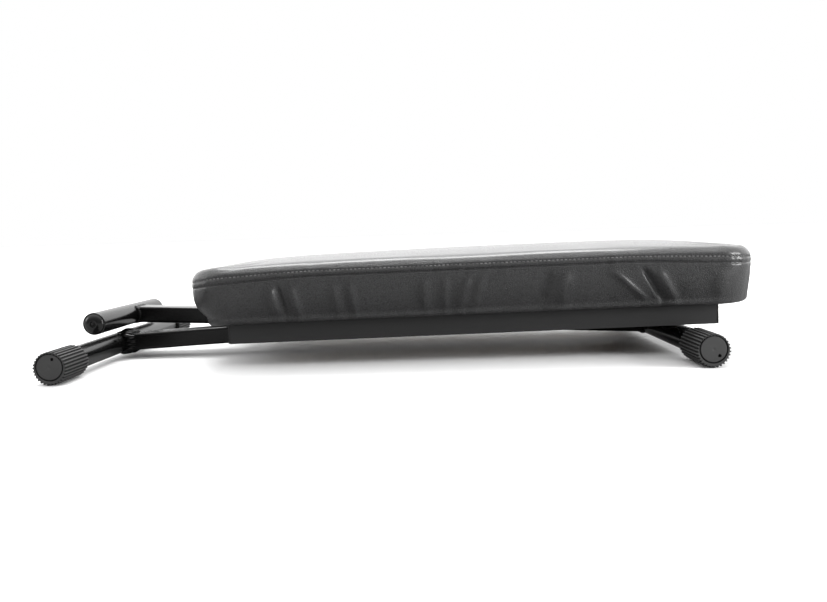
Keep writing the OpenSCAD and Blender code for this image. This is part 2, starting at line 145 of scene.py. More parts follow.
class BenchCushion(bpy.types.PropertyGroup):
    """Sizes and finish of the upholstery."""

    width: length("Width", "Cushion width at the seam", COVER[1][0] - COVER[0][0], 480, 660)
    depth: length("Depth", "Cushion depth at the seam", COVER[1][1] - COVER[0][1], 260, 400)
    corner: length("Corner radius", "Radius of the corners seen from above", 45, 25, 80)
    seam: length("Seam height", "Height of the seam over the board's underside", 42, 26, 70)
    rise: length("Top roll", "Height from the seam to the top panel's edge", 15, 5, 30)
    crown: length("Crown", "How far the middle of the top stands over its edge", 5.6, 0, 12)
    sag: length("Corner sag", "How far the seam drops round the seat's ends", 7, 0, 12)
    taper: length("Side taper", "How far the long sides draw in towards the board", 12, 2, 16)
    hem: length("Hem drop", "How far the padded hem hangs under the board", 8, 1, 9)
    margin: length("Hem margin", "Reach of the stapled margin from the widest outline", 46, 40, 60)
    pitch: length("Stitch pitch", "Distance between two stitches of the top seam", 4.4, 2, 8)
    staple_pitch: length("Staple pitch", "Distance between two staples", 27, 12, 60)
    colour: tone("Vinyl", "Colour of the vinyl cover", 0.044, 1.03)
    thread: tone("Thread", "Colour of the topstitch thread", 0.22, 1.0)


class BenchFrame(bpy.types.PropertyGroup):
    """Sizes and finish of the steel frame."""

    corner: length("Tube corner", "Outer corner radius of the rectangular tubes", 2.2, 0.5, 5)
    bead: length("Weld bead", "Radius of the weld beads", 3.0, 1, 6)
    ripple: length("Weld ripple", "Distance between two ripples of a weld", 2.6, 1, 6)
    edge: length("Edge radius", "Rounding of plate and rail edges", 0.6, 0.1, 2)
    paint: tone("Frame paint", "Colour of the gloss powder coat", 0.002, 1.0)
    rail: tone("Rail paint", "Colour of the satin rail paint", 0.024, 1.02)


class BenchFittings(bpy.types.PropertyGroup):
    """Sizes and finish of caps, plugs and fasteners."""

    ribs: IntProperty(name="Cap ribs", description="Number of grip ribs round a foot cap", default=30, min=16,
                      max=48)
    groove: length("Rib groove", "Depth of the grooves between the ribs", 1.8, 0.4, 2)
    disc: length("Disc radius", "Radius of the disc on a foot cap's end", 12.9, 8, 14)
    rubber: tone("Rubber", "Colour of the foot caps", 0.055, 1.0)
    plastic: tone("Plastic", "Colour of the plugs", 0.008, 1.0)
    steel: tone("Zinc steel", "Colour of the plated fasteners", 0.55, 1.03)


class BenchStage(bpy.types.PropertyGroup):
    """Floor, lights and camera."""

    lens: FloatProperty(name="Focal length", description="Focal length of the camera in millimetres",
                        default=34.3, min=10, max=200, subtype="DISTANCE_CAMERA")
    distance: length("Camera distance", "Distance in front of the bench's middle", 976.7, 300, 3000)
    height: length("Camera height", "Height over the floor", 140, 0, 2000)
    offset: length("Camera offset", "Place along the bench, from the left foot bar", 377.2, 0, 900)
    floor: tone("Floor", "Colour of the floor", 0.95, 1.0)
    fill: share("Front light", "Brightness in front of the bench, as a share of the back", 0.19)
    bounce: share("Floor bounce", "Share of its light that the floor throws back on the bench", 0.3)


# ---- Meshes -------------------------------------------------------------------------------


def ease(x, low, high):
    """Smooth step: zero below low, one above high, and 3u^2 - 2u^3 between."""
    u = np.clip((x - low) / (high - low), 0, 1)
    return u * u * (3 - 2 * u)


def grid(place, points):
    """Vertices and faces of closed surfaces. Points are (copies, rows, columns, 3) in millimetres of a place.

    Each quad joins two rows and two columns; columns wrap round, and the first and last rows are drawn
    together or meet each other. The sign of the enclosed volume, the sum of a.(b x c) / 6, turns the
    faces outwards.
    """
    points = np.asarray(points, float)
    points = points.reshape((-1,) + points.shape[-3:])
    copies, rows, columns = points.shape[:3]
    index = np.arange(rows * columns).reshape(rows, columns)
    beside = np.roll(index, -1, axis=1)
    faces = np.stack([index[:-1], beside[:-1], beside[1:], index[1:]], axis=-1).reshape(-1, 4)
    one = points[0].reshape(-1, 3)
    a, b, c, d = (one[faces[:, k]] - one.mean(0) for k in range(4))
    volume = (np.cross(a, b) * c).sum() + (np.cross(a, c) * d).sum()
    faces = faces if volume > 0 else faces[:, ::-1]
    shift = np.arange(copies)[:, None, None] * rows * columns
    return place.world(points.reshape(-1, 3)), (faces[None] + shift).reshape(-1, 4)


def piece(name, shells, sharp=50.0):
    """An object from shells of vertices and faces, its doubles merged, smooth but for edges over an angle."""
    counts = np.cumsum([0] + [len(points) for points, _ in shells])
    vertices = np.concatenate([points for points, _ in shells])
    faces = np.concatenate([corners + start for (_, corners), start in zip(shells, counts)])
    mesh = bpy.data.meshes.new(name)
    mesh.from_pydata(vertices, [], faces)
    work = bmesh.new()
    work.from_mesh(mesh)
    bmesh.ops.remove_doubles(work, verts=work.verts, dist=2e-6)
    bmesh.ops.dissolve_degenerate(work, edges=work.edges, dist=1e-7)
    work.to_mesh(mesh)
    work.free()
    mesh.polygons.foreach_set("use_smooth", np.ones(len(mesh.polygons), bool))
    mesh.set_sharp_from_angle(angle=math.radians(sharp))
    mesh.update()
    thing = bpy.data.objects.new(name, mesh)
    bpy.context.scene.collection.objects.link(thing)
    return thing


def fit(thing, body, slot, material, *nodes):
    """Gives a piece its material and body, and hides the CAD nodes that it stands for; the slot is not used.
    """
    thing.data.materials.append(material)
    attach(thing, body)
    if nodes:
        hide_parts(*nodes)
    return thing


def outline(s, width, depth, corner):
    """A round-cornered rectangle by arc length from the middle of its front, with its outward normals.

    Quarters repeat by mirroring: along the front to the corner, an arc of the corner's radius, then along
    the side. Returns points (n, 2), normals (n, 2).
    """
    a, b, arc = width / 2 - corner, depth / 2 - corner, math.pi * corner / 2
    quarter = a + arc + b
    number = np.floor(s / quarter).astype(int) % 4
    u = s % quarter
    u = np.where(number % 2 == 0, u, quarter - u)
    angle = np.clip((u - a) / corner, 0, math.pi / 2)
    x = np.minimum(u, a) + corner * np.sin(angle)
    y = -b - corner * np.cos(angle) + np.maximum(u - a - arc, 0)
    sx, sy = np.where(number < 2, 1, -1), np.where((number == 0) | (number == 3), 1, -1)
    points = np.stack([x * sx, y * sy], axis=-1)
    return points, np.stack([np.sin(angle) * sx, -np.cos(angle) * sy], axis=-1)


def perimeter(width, depth, corner):
    """Length of the outline: twice the width and the depth, with its square corners changed for arcs."""
    return 2 * (width + depth) - 8 * corner + 2 * math.pi * corner


def turned(radius, axial, columns=48, side=1, centre=(0, 0, 0)):
    """A profile turned about Y: x = r cos a, z = r sin a, y the axial distance, as (rows, columns, 3)."""
    a = np.arange(columns) / columns * 2 * math.pi
    radius = np.asarray(radius, float)
    radius = radius if radius.ndim == 2 else radius[:, None] * np.ones(columns)
    axial = np.asarray(axial, float)[:, None] * np.ones(columns)
    return np.stack([radius * np.cos(a), axial * side, radius * np.sin(a)], axis=-1) + np.array(centre)


# ---- Shader groups ------------------------------------------------------------------------


class Tree:
    """Short calls for making and joining shader nodes."""

    def __init__(self, tree):
        self.tree = tree

    def add(self, kind, settings=None, **inputs):
        """A node of a kind, with its settings, and inputs that are values or outputs of other nodes."""
        node = self.tree.nodes.new(kind)
        for key, value in (settings or {}).items():
            setattr(node, key, value)
        for key, value in inputs.items():
            self.join(value, node.inputs[key.replace("_", " ")])
        return node

    def join(self, value, socket):
        """Links an output to a socket, or sets the socket to a value."""
        if isinstance(value, bpy.types.NodeSocket):
            self.tree.links.new(value, socket)
        else:
            socket.default_value = value

    def maths(self, operation, *values, clamp=False):
        """The output of a Math node."""
        node = self.tree.nodes.new("ShaderNodeMath")
        node.operation, node.use_clamp = operation, clamp
        for value, socket in zip(values, node.inputs):
            self.join(value, socket)
        return node.outputs[0]

    def remap(self, value, low, high, to_low, to_high):
        """The value from one range to another, held inside it, on a smooth step."""
        node = self.add("ShaderNodeMapRange", {"interpolation_type": "SMOOTHSTEP"}, Value=value)
        for key, number in zip(("From Min", "From Max", "To Min", "To Max"), (low, high, to_low, to_high)):
            node.inputs[key].default_value = number
        return node.outputs[0]

    def noise(self, point, scale, detail=3.0, roughness=0.5):
        """The factor of a noise texture."""
        return self.add("ShaderNodeTexNoise", Vector=point, Scale=scale, Detail=detail,
                        Roughness=roughness).outputs[0]

    def blend(self, factor, a, b):
        """A colour between two, by a factor."""
        node = self.tree.nodes.new("ShaderNodeMix")
        node.data_type = "RGBA"
        self.join(factor, node.inputs[0])
        self.join(a, node.inputs[6])
        self.join(b, node.inputs[7])
        return node.outputs[2]

    def scaled(self, point, x, y, z):
        """Coordinates stretched along the axes."""
        node = self.add("ShaderNodeMapping", Vector=point)
        node.inputs["Scale"].default_value = (x, y, z)
        return node.outputs[0]


def group(name, inputs, outputs):
    """An empty node group with named sockets, and its input and output nodes."""
    made = bpy.data.node_groups.new(name, "ShaderNodeTree")
    for key, kind, value in inputs:
        socket = made.interface.new_socket(key, in_out="INPUT", socket_type=kind)
        if value is not None:
            socket.default_value = value
    for key, kind in outputs:
        made.interface.new_socket(key, in_out="OUTPUT", socket_type=kind)
    tree = Tree(made)
    return made, tree, made.nodes.new("NodeGroupInput"), made.nodes.new("NodeGroupOutput")


POINT, NUMBER, COLOUR = "NodeSocketVector", "NodeSocketFloat", "NodeSocketColor"


def pebble_group():
    """Leather grain: small cells with soft creases between them, broken up by noise, and a fine pore."""
    made, tree, source, sink = group(
        "Pebble grain", [("Vector", POINT, None), ("Size", NUMBER, 800.0), ("Softness", NUMBER, 0.5)],
        [("Height", NUMBER), ("Crease", NUMBER), ("Patch", NUMBER)])
    point, size = source.outputs[0], source.outputs[1]
    drift = tree.add("ShaderNodeTexNoise", Vector=point, Scale=90.0, Detail=2.0).outputs["Color"]
    moved = tree.add("ShaderNodeVectorMath", {"operation": "MULTIPLY_ADD"})
    tree.join(drift, moved.inputs[0])
    moved.inputs[1].default_value = (0.0012, 0.0012, 0.0012)
    tree.join(point, moved.inputs[2])
    place = moved.outputs[0]
    cells = tree.add("ShaderNodeTexVoronoi", {"feature": "DISTANCE_TO_EDGE"}, Vector=place, Scale=size)
    crease = tree.remap(cells.outputs["Distance"], 0.0, 0.28, 1.0, 0.0)
    dome = tree.add("ShaderNodeTexVoronoi", {"feature": "SMOOTH_F1"}, Vector=place, Scale=size)
    dome.inputs["Smoothness"].default_value = 0.6
    pore = tree.noise(point, 2600.0, 2.0)
    height = tree.maths("MULTIPLY_ADD", crease, -0.8, tree.maths("MULTIPLY", pore, 0.35))
    height = tree.maths("MULTIPLY_ADD", dome.outputs["Distance"], -0.5, height)
    tree.join(height, sink.inputs["Height"])
    tree.join(crease, sink.inputs["Crease"])
    tree.join(tree.noise(point, 24.0, 3.0), sink.inputs["Patch"])
    return made


def coat_group():
    """Painted steel: slow orange peel, fine dust specks that lie on upward faces, and thin rubbed spots."""
    made, tree, source, sink = group(
        "Powder coat", [("Vector", POINT, None), ("Normal", POINT, None), ("Peel", NUMBER, 420.0)],
        [("Height", NUMBER), ("Dust", NUMBER), ("Rub", NUMBER)])
    point = source.outputs[0]
    peel = tree.noise(point, source.outputs[2], 1.5, 0.4)
    fine = tree.noise(point, 1900.0, 1.0)
    tree.join(tree.maths("MULTIPLY_ADD", fine, 0.15, peel), sink.inputs["Height"])
    up = tree.add("ShaderNodeSeparateXYZ", Vector=source.outputs[1]).outputs[2]
    specks = tree.remap(tree.noise(point, 900.0, 4.0, 0.7), 0.62, 0.75, 0.0, 1.0)
    cloud = tree.remap(tree.noise(point, 35.0, 3.0), 0.35, 0.7, 0.2, 1.0)
    lying = tree.remap(up, 0.1, 0.9, 0.15, 1.0)
    dust = tree.maths("MULTIPLY", tree.maths("MULTIPLY", specks, cloud), lying)
    tree.join(dust, sink.inputs["Dust"])
    tree.join(tree.remap(tree.noise(point, 60.0, 5.0, 0.65), 0.66, 0.8, 0.0, 1.0), sink.inputs["Rub"])
    return made


def moulding_group():
    """Moulded rubber or plastic: a fine matt spark texture, soft flow clouds and dust in the low places."""
    made, tree, source, sink = group(
        "Moulding", [("Vector", POINT, None), ("Grain", NUMBER, 1500.0)],
        [("Height", NUMBER), ("Cloud", NUMBER), ("Speck", NUMBER)])
    point = source.outputs[0]
    tree.join(tree.noise(point, source.outputs[1], 3.0, 0.6), sink.inputs["Height"])
    tree.join(tree.noise(point, 70.0, 3.0), sink.inputs["Cloud"])
    tree.join(tree.remap(tree.noise(point, 1100.0, 3.0, 0.7), 0.66, 0.76, 0.0, 1.0), sink.inputs["Speck"])
    return made


GROUPS = {"pebble": pebble_group, "coat": coat_group, "moulding": moulding_group}


def shared(name):
    """A shader group, built the first time that it is asked for."""
    key = f"bench_{name}"
    if key not in bpy.data.node_groups:
        GROUPS[name]().name = key
    return bpy.data.node_groups[key]


def material(name, paint):
    """A material whose paint function joins its nodes to a Principled shader, made once."""
    if name in bpy.data.materials:
        return bpy.data.materials[name]
    made = bpy.data.materials.new(name)
    made.use_nodes = True
    made.node_tree.nodes.clear()
    tree = Tree(made.node_tree)
    shader = tree.add("ShaderNodeBsdfPrincipled")
    sink = tree.add("ShaderNodeOutputMaterial")
    made.node_tree.links.new(shader.outputs[0], sink.inputs[0])
    place = tree.add("ShaderNodeTexCoord")
    paint(tree, shader.inputs, place.outputs["Object"], place.outputs["Normal"])
    return made


def effect(tree, name, **inputs):
    """A shared group placed in a material."""
    node = tree.add("ShaderNodeGroup", {"node_tree": shared(name)})
    for key, value in inputs.items():
        tree.join(value, node.inputs[key])
    return node.outputs


def bump(tree, height, distance, strength=1.0, under=None):
    """A normal bent by a height, on top of another normal if one is given."""
    node = tree.add("ShaderNodeBump", Height=height, Distance=distance, Strength=strength)
    if under is not None:
        tree.join(under, node.inputs["Normal"])
    return node.outputs[0]


def scaled_tone(colour, factor):
    """A colour times a factor, held below one, with its alpha."""
    return tuple(min(c * factor, 1.0) for c in colour) + (1.0,)


def vinyl():
    """Black leather-look vinyl under a thin coat: pebble grain, duller creases darkened with painted shade,
    and faint patches.
    """
    tint = bpy.context.scene.bench_cushion.colour

    def paint(tree, inputs, point, normal):
        grain = effect(tree, "pebble", Vector=point, Size=600.0)
        base = tree.blend(grain["Patch"], scaled_tone(tint, 0.85), scaled_tone(tint, 1.2))
        # Painted shade: the grain's creases are darkened towards 0.45 of the vinyl's colour; their added
        # roughness below is the vinyl's own.
        tree.join(tree.blend(grain["Crease"], base, scaled_tone(tint, 0.45)), inputs["Base Color"])
        patch = tree.remap(grain["Patch"], 0.3, 0.7, 0.4, 0.47)
        rough = tree.maths("MULTIPLY_ADD", grain["Crease"], 0.12, patch)
        tree.join(rough, inputs["Roughness"])
        slow = bump(tree, tree.noise(point, 120.0, 3.0), 0.0012, 0.5)
        tree.join(bump(tree, grain["Height"], 0.0007, 0.9, slow), inputs["Normal"])
        inputs["Specular IOR Level"].default_value = 0.35
        inputs["Coat Weight"].default_value = 0.7
        inputs["Coat Roughness"].default_value = 0.24

    return material("black vinyl", paint)


def thread():
    """Twisted topstitch thread: plies along the strand, worn darker in places."""
    tint = bpy.context.scene.bench_cushion.thread

    def paint(tree, inputs, point, normal):
        ply = tree.add("ShaderNodeTexWave", {"bands_direction": "DIAGONAL"}, Vector=point, Scale=900.0,
                       Distortion=1.5, Detail=1.0)
        lint = tree.noise(point, 3000.0, 2.0)
        worn = tree.remap(tree.noise(point, 75.0, 3.0), 0.35, 0.65, 0.0, 1.0)
        strand = tree.blend(ply.outputs["Fac"], scaled_tone(tint, 0.7), scaled_tone(tint, 1.3))
        tree.join(tree.blend(worn, scaled_tone(tint, 0.4), strand), inputs["Base Color"])
        tree.join(tree.remap(lint, 0.3, 0.7, 0.5, 0.7), inputs["Roughness"])
        tree.join(bump(tree, ply.outputs["Fac"], 0.0001, 0.6), inputs["Normal"])
        inputs["Sheen Weight"].default_value = 0.15

    return material("topstitch thread", paint)


def coated(name, tint, rough, peel, depth, dust=0.5, shine=0.45):
    """Powder coat of a colour, with peel of a scale and depth, dust on top and rubbed spots."""

    def paint(tree, inputs, point, normal):
        coat = effect(tree, "coat", Vector=point, Normal=normal, Peel=peel)
        dusty = tree.maths("MULTIPLY", coat["Dust"], dust)
        rubbed = tree.maths("MULTIPLY", coat["Rub"], 0.5)
        base = tree.blend(rubbed, scaled_tone(tint, 1.0), scaled_tone(tint, 1.5))
        tree.join(tree.blend(dusty, base, (0.16, 0.155, 0.15, 1.0)), inputs["Base Color"])
        dull = tree.maths("MULTIPLY_ADD", coat["Rub"], 0.08, rough)
        tree.join(tree.maths("ADD", dull, dusty), inputs["Roughness"])
        tree.join(bump(tree, coat["Height"], depth, 0.7), inputs["Normal"])
        inputs["Specular IOR Level"].default_value = shine

    return material(name, paint)


def frame_paint():
    """Gloss black of the tubes and bars."""
    return coated("frame powder coat", bpy.context.scene.bench_frame.paint, 0.24, 380.0, 0.00006, 0.25, 0.4)


def rail_paint():
    """Satin black of the seat rails."""
    return coated("rail satin coat", bpy.context.scene.bench_frame.rail, 0.5, 900.0, 0.00006, 0.3)


def bracket_paint():
    """Satin black of the pressed brackets and racks."""
    return coated("bracket satin coat", bpy.context.scene.bench_frame.rail, 0.42, 700.0, 0.00006, 0.3)


def moulded(name, tint, rough, grain, depth):
    """Moulded rubber or plastic of a colour, with its spark texture, a little dust, and painted shade that
    darkens the marked recesses.
    """

    def paint(tree, inputs, point, normal):
        skin = effect(tree, "moulding", Vector=point, Grain=grain)
        # Painted shade: the cap's "recess" attribute darkens the grooves between the ribs, standing in for
        # the shade that falls in them.
        deep = tree.add("ShaderNodeAttribute", {"attribute_name": "recess"}).outputs["Fac"]
        base = tree.blend(skin["Cloud"], scaled_tone(tint, 0.85), scaled_tone(tint, 1.15))
        base = tree.blend(deep, base, scaled_tone(tint, 0.12))
        tree.join(tree.blend(tree.maths("MULTIPLY", skin["Speck"], 0.25), base, (0.2, 0.2, 0.2, 1.0)),
                  inputs["Base Color"])
        tree.join(tree.maths("MULTIPLY_ADD", skin["Cloud"], 0.12, rough), inputs["Roughness"])
        tree.join(bump(tree, skin["Height"], depth, 0.7), inputs["Normal"])

    return material(name, paint)


def rubber():
    """Grey-black rubber of the foot caps."""
    return moulded("cap rubber", bpy.context.scene.bench_fittings.rubber, 0.62, 1700.0, 0.0001)


def plastic():
    """Glossy black plastic of the plugs."""
    return moulded("black plastic", bpy.context.scene.bench_fittings.plastic, 0.1, 2200.0, 0.00002)


def nylon():
    """Natural nylon of the bushes."""
    return moulded("natural nylon", (0.62, 0.6, 0.54), 0.45, 1500.0, 0.00003)


def black_nylon():
    """Black nylon of the pivot spacer."""
    return moulded("black nylon", (0.03, 0.03, 0.03), 0.5, 1500.0, 0.00004)


def plated():
    """Zinc-plated steel: fine turning lines, a cloudy passivation and duller spots."""
    tint = bpy.context.scene.bench_fittings.steel

    def paint(tree, inputs, point, normal):
        cloud = tree.noise(point, 120.0, 4.0, 0.6)
        lines = tree.noise(tree.scaled(point, 400.0, 4000.0, 400.0), 1.0, 2.0)
        tree.join(tree.blend(cloud, scaled_tone(tint, 0.75), scaled_tone(tint, 1.1)), inputs["Base Color"])
        dull = tree.remap(cloud, 0.3, 0.7, 0.22, 0.36)
        tree.join(tree.maths("MULTIPLY_ADD", lines, 0.15, dull), inputs["Roughness"])
        tree.join(bump(tree, lines, 0.00004, 0.5), inputs["Normal"])
        inputs["Metallic"].default_value = 1.0

    return material("zinc steel", paint)


def plywood():
    """Birch plywood: long figure on the faces, and thin dark glue lines between plies on the edges."""

    def paint(tree, inputs, point, normal):
        figure = tree.noise(tree.scaled(point, 9.0, 160.0, 9.0), 1.0, 4.0, 0.6)
        streaks = tree.noise(tree.scaled(point, 90.0, 1800.0, 90.0), 1.0, 3.0)
        pores = tree.remap(streaks, 0.6, 0.75, 0.0, 1.0)
        plies = tree.add("ShaderNodeTexWave", {"bands_direction": "Z"}, Vector=point, Scale=95.0,
                         Distortion=0.4)
        glue = tree.remap(plies.outputs["Fac"], 0.0, 0.18, 1.0, 0.0)
        up = tree.add("ShaderNodeSeparateXYZ", Vector=normal).outputs[2]
        edge = tree.remap(tree.maths("ABSOLUTE", up), 0.3, 0.7, 1.0, 0.0)
        base = tree.blend(figure, (0.42, 0.26, 0.13, 1.0), (0.64, 0.45, 0.26, 1.0))
        base = tree.blend(tree.maths("MULTIPLY", pores, 0.5), base, (0.22, 0.13, 0.07, 1.0))
        lines = tree.maths("MULTIPLY", glue, edge)
        tree.join(tree.blend(lines, base, (0.16, 0.09, 0.05, 1.0)), inputs["Base Color"])
        tree.join(tree.remap(figure, 0.3, 0.7, 0.6, 0.75), inputs["Roughness"])
        tree.join(bump(tree, pores, 0.0002, 0.5), inputs["Normal"])

    return material("birch plywood", paint)


# ---- Cushion ------------------------------------------------------------------------------

# Pull folds of the front side band, in millimetres: place at the seam and at the hem from the seat's middle,
# half width, and how far the fold stands out before it is scaled.
PULL_FOLDS = (
    (-215, -206, 4.0, 2.0), (-206, -198, 2.2, -1.3), (-192, -184, 4.5, 1.8), (-146, -141, 5.0, 1.3),
    (-129, -124, 4.0, 1.4), (-50, -49, 5.0, 1.4), (-27, -28, 4.0, 1.2), (-2, -12, 4.5, 1.5),
    (14, 2, 5.0, 1.2), (84, 74, 6.0, -1.7), (99, 97, 7.0, 1.9), (139, 186, 4.5, 1.2),
    (176, 203, 3.5, -2.0), (190, 214, 6.0, 1.3), (258, 262, 9.0, 0.9),
)


def seeded(seed, count):
    """Repeatable numbers between 0 and 1: the fraction of a large sine."""
    return np.modf(np.abs(np.sin((np.arange(count) + 1) * 12.9898 + seed * 78.233)) * 43758.5453)[0]


class Cushion:
    """The upholstered form as functions of arc length s round its outline and of a second parameter."""

    def __init__(self, s):
        c = bpy.context.scene.bench_cushion
        self.width, self.depth, self.corner = c.width * 1000, c.depth * 1000, c.corner * 1000
        self.seam, self.rise, self.crown = c.seam * 1000, c.rise * 1000, c.crown * 1000
        self.margin, self.hem, self.taper = c.margin * 1000, c.hem * 1000, c.taper * 1000
        self.s = s
        self.base, self.normal = outline(s, self.width, self.depth, self.corner)
        nx, ny = self.normal.T
        self.end = nx ** 2
        self.left = self.end * (nx < 0)
        self.side = ny ** 2
        far = np.abs(self.base[:, 0]) / (self.width / 2)
        self.drop = c.sag * 1000 * ease(far, 0.52, 1.02) + 5 * self.left
        self.foot = self.taper * self.side + 14 * self.left + 2.5 * (self.end - self.left)
        self.power = 1.7 * self.side + 3.2 * self.left + 1.5 * (self.end - self.left)
        self.reach = 16 * self.side + 21 * self.end
        self.pinch = 1.35 * self.side + 0.35 * self.end

    def place(self, inset, height):
        """Points a distance inside the outline, at a height over the board's underside."""
        xy = self.base - self.normal * np.asarray(inset)[..., None]
        z = np.broadcast_to(PLANE + np.asarray(height), xy.shape[:-1])
        return np.concatenate([xy[..., :1] + MIDDLE, xy[..., 1:], z[..., None]], axis=-1)

    def ripple(self, away):
        """Puckers along the seam: three sines of 11 to 23 mm, fading with the distance from the seam."""
        waves = sum(np.sin(2 * math.pi * self.s / wave + phase)
                    for wave, phase in ((11.3, 0.4), (16.9, 2.1), (23.1, 4.0)))
        patch = 0.5 + 0.5 * np.sin(2 * math.pi * self.s / 143 + 1.0)
        return 0.2 * waves * patch * np.exp(-(away / 7.0) ** 2)

    def folds(self, up):
        """Outward pull of the side band at a share of its height: a sum of leaning Gaussian ridges.

        The front has its named folds. The other sides have seeded ones, and slow sines run all round.
        """
        x, front = self.base[:, 0], self.normal[:, 1] < -0.7
        fade = ease(up, -0.25, 0.25) * (1 - ease(up, 0.62, 0.97))
        total = np.zeros(np.broadcast(up, x).shape)
        for top, low, half, out in PULL_FOLDS:
            total = total + 2.2 * out * np.exp(-((x - low - (top - low) * up) / half) ** 2) * front
        places = (seeded(3, 34) * 0.94 + 0.03) * perimeter(self.width, self.depth, self.corner)
        for at, lean, half, out in zip(places, seeded(5, 34), seeded(7, 34), seeded(9, 34)):
            away = self.s - at - (lean - 0.5) * 24 * up
            total = total + (out * 3.0 - 1.0) * np.exp(-(away / (3.5 + 4 * half)) ** 2) * ~front
        slow = sum(np.sin(2 * math.pi * (self.s + lean * up) / wave + wave)
                   for wave, lean in ((37.0, 8.0), (61.0, -12.0), (97.0, 15.0)))
        return total * fade + 0.22 * slow * ease(up, -0.3, 0.2) * (1 - ease(up, 0.6, 1.0))

    def band(self, up):
        """The side band: it draws in by foot * (1 - up)^power, with folds, puckers and the pinched seam."""
        up = np.asarray(up)[:, None]
        away = (1 - up) * self.seam
        inset = self.foot * np.clip(1 - up, 0, None) ** self.power - self.folds(up) - self.ripple(away)
        inset = inset + self.pinch * (np.exp(-(away / 0.8) ** 2) - 0.3 * np.exp(-((away - 4) / 3.5) ** 2))
        return self.place(inset, up * (self.seam - self.drop * 0.9))

    def roll(self, arc):
        """The top edge from the seam, by arc length: a quarter superellipse with a welt below the topstitch.

        The inset is reach * (1 - cos a)^1.3 and the height rise * sin(a)^0.8, with a dent at the stitches.
        """
        arc = np.asarray(arc)[:, None]
        a = np.clip(arc / self.roll_length(), 0, 1) * math.pi / 2
        inset = self.reach * (1 - np.cos(a)) ** 1.3
        height = self.seam - self.drop * 0.9 + (self.rise + 0.7 * self.drop) * np.sin(a) ** 0.8
        inset = inset + self.pinch * (np.exp(-(arc / 0.6) ** 2) - 0.4 * np.exp(-((arc - 2.2) / 1.3) ** 2))
        inset = inset + 0.45 * np.exp(-((arc - 4.6) / 0.8) ** 2) - 0.45 * np.exp(-((arc - 7.5) / 2.6) ** 2)
        return self.place(inset - self.ripple(arc) * 1.3, height)

    def roll_length(self):
        """Length of the roll: a quarter ellipse, as pi / 2 times the root mean square of its two radii."""
        return 0.5 * math.pi * np.sqrt((self.reach ** 2 + (self.rise + 0.2 * self.drop) ** 2) / 2)

    def top(self, share):
        """The top panel, from its edge to a line along the middle. It is raised by the crown, times one minus
        the seventh power of the way along, times one minus the way across to the power 2.6."""
        share = np.asarray(share)[:, None, None]
        edge = self.roll(np.array([1.0]) * 100)[0]
        half = (self.width - self.depth) / 2
        ratio = half / (self.width / 2 - self.reach.max())
        spine = np.stack([MIDDLE + np.clip((edge[:, 0] - MIDDLE) * ratio, -half, half),
                          0 * edge[:, 1], 0 * edge[:, 2] + PLANE + self.seam + self.rise], axis=-1)
        points = edge + (spine - edge) * share
        x = (points[..., 0] - MIDDLE) / (self.width / 2 - 16)
        y = points[..., 1] / (self.depth / 2 - 16)
        lift = self.crown * np.clip(1 - np.abs(x) ** 7, 0, 1) * np.clip(1 - np.abs(y) ** 2.6, 0, 1)
        lift = lift * (1 + 0.25 * x)
        wave = 0.25 * np.sin(points[..., 0] / 41 + np.sin(points[..., 1] / 33)) * np.clip(1 - y ** 2, 0, 1)
        points[..., 2] += lift + wave * ease(share[..., 0], 0, 0.3)
        return points

    def under(self, angle):
        """The padded hem: half a round from the margin to the band's foot, hanging by the hem's drop."""
        angle = np.asarray(angle)[:, None]
        start = 21.0 * self.side + 24.0 * self.end
        leg = self.left * ease(self.base[:, 1], -45, -5) * (1 - ease(self.base[:, 1], 50, 90))
        drop = (self.hem - 0.8 + 2.5 * self.left) * (1 - 0.95 * leg)
        middle, half = (start + self.foot) / 2, (start - self.foot) / 2
        inset = middle + half * np.cos(angle) - self.folds(np.zeros((1, 1))) * (1 - np.cos(angle)) / 2
        height = -0.8 * (1 + np.cos(angle)) / 2 - drop * np.clip(np.sin(angle), 0, 1) ** 0.7
        return self.place(inset, height)

    def flat(self, inset, height):
        """Rows that keep an inset and a height all round."""
        inset = np.asarray(inset, float)[:, None] * np.ones(len(self.s))
        return self.place(inset, np.asarray(height, float)[:, None] * np.ones(len(self.s)))

    def pocket(self):
        """The board's pocket, from the line along its middle, over its edge, and down to the margin."""
        board, lift = self.taper + 1.25, BOARD[1][2] - PLANE + 0.2
        rows = self.flat([board, board, self.margin, self.margin], [lift, -0.06, -0.06, -0.8])
        half = (self.width - self.depth) / 2
        spine = rows[:1].copy()
        along = (rows[:1, :, 0] - MIDDLE) * half / (self.width / 2 - board)
        spine[..., 0] = MIDDLE + np.clip(along, -half, half)
        spine[..., 1] = 0
        return np.concatenate([spine, rows])

    def skin(self, fine=1):
        """The outer skin, from the margin to the middle of the top."""
        margin = self.flat(np.linspace(self.margin - 3, 24.5, 4 * fine), [-0.8] * 4 * fine)
        hem = self.under(np.linspace(0, math.pi, 7 * fine)[1:-1])
        near = np.array([7.0, 4.5, 3.2, 2.2, 1.5, 0.9, 0.4, 0.0]) / self.seam
        band = self.band(np.concatenate([np.linspace(0, 0.82, 10 * fine)[:-1], 1 - near]))
        close = np.array([0.4, 0.9, 1.5, 2.1, 2.8, 3.5, 4.1, 4.6, 5.1, 5.7, 6.5, 7.6, 9.0])
        rest = np.linspace(11.0, float(self.roll_length().max()) * 0.98, 6 * fine)
        roll = self.roll(np.concatenate([close, rest]))
        top = self.top(np.linspace(0, 1, 9 * fine) ** 1.15)
        return np.concatenate([margin, hem, band, roll, top])


def round_the_seat(count):
    """Arc lengths round the outline, even in each quarter so that the four quarters mirror each other."""
    c = bpy.context.scene.bench_cushion
    whole = perimeter(c.width * 1000, c.depth * 1000, c.corner * 1000)
    return (np.arange(count) + 0.5) / count * whole


# Rows of the skin that Cloth holds: the stapled hem below the first, and the sewn seam between the others.
HEM_ROWS = 22
SEAM_ROWS = (40, 58)


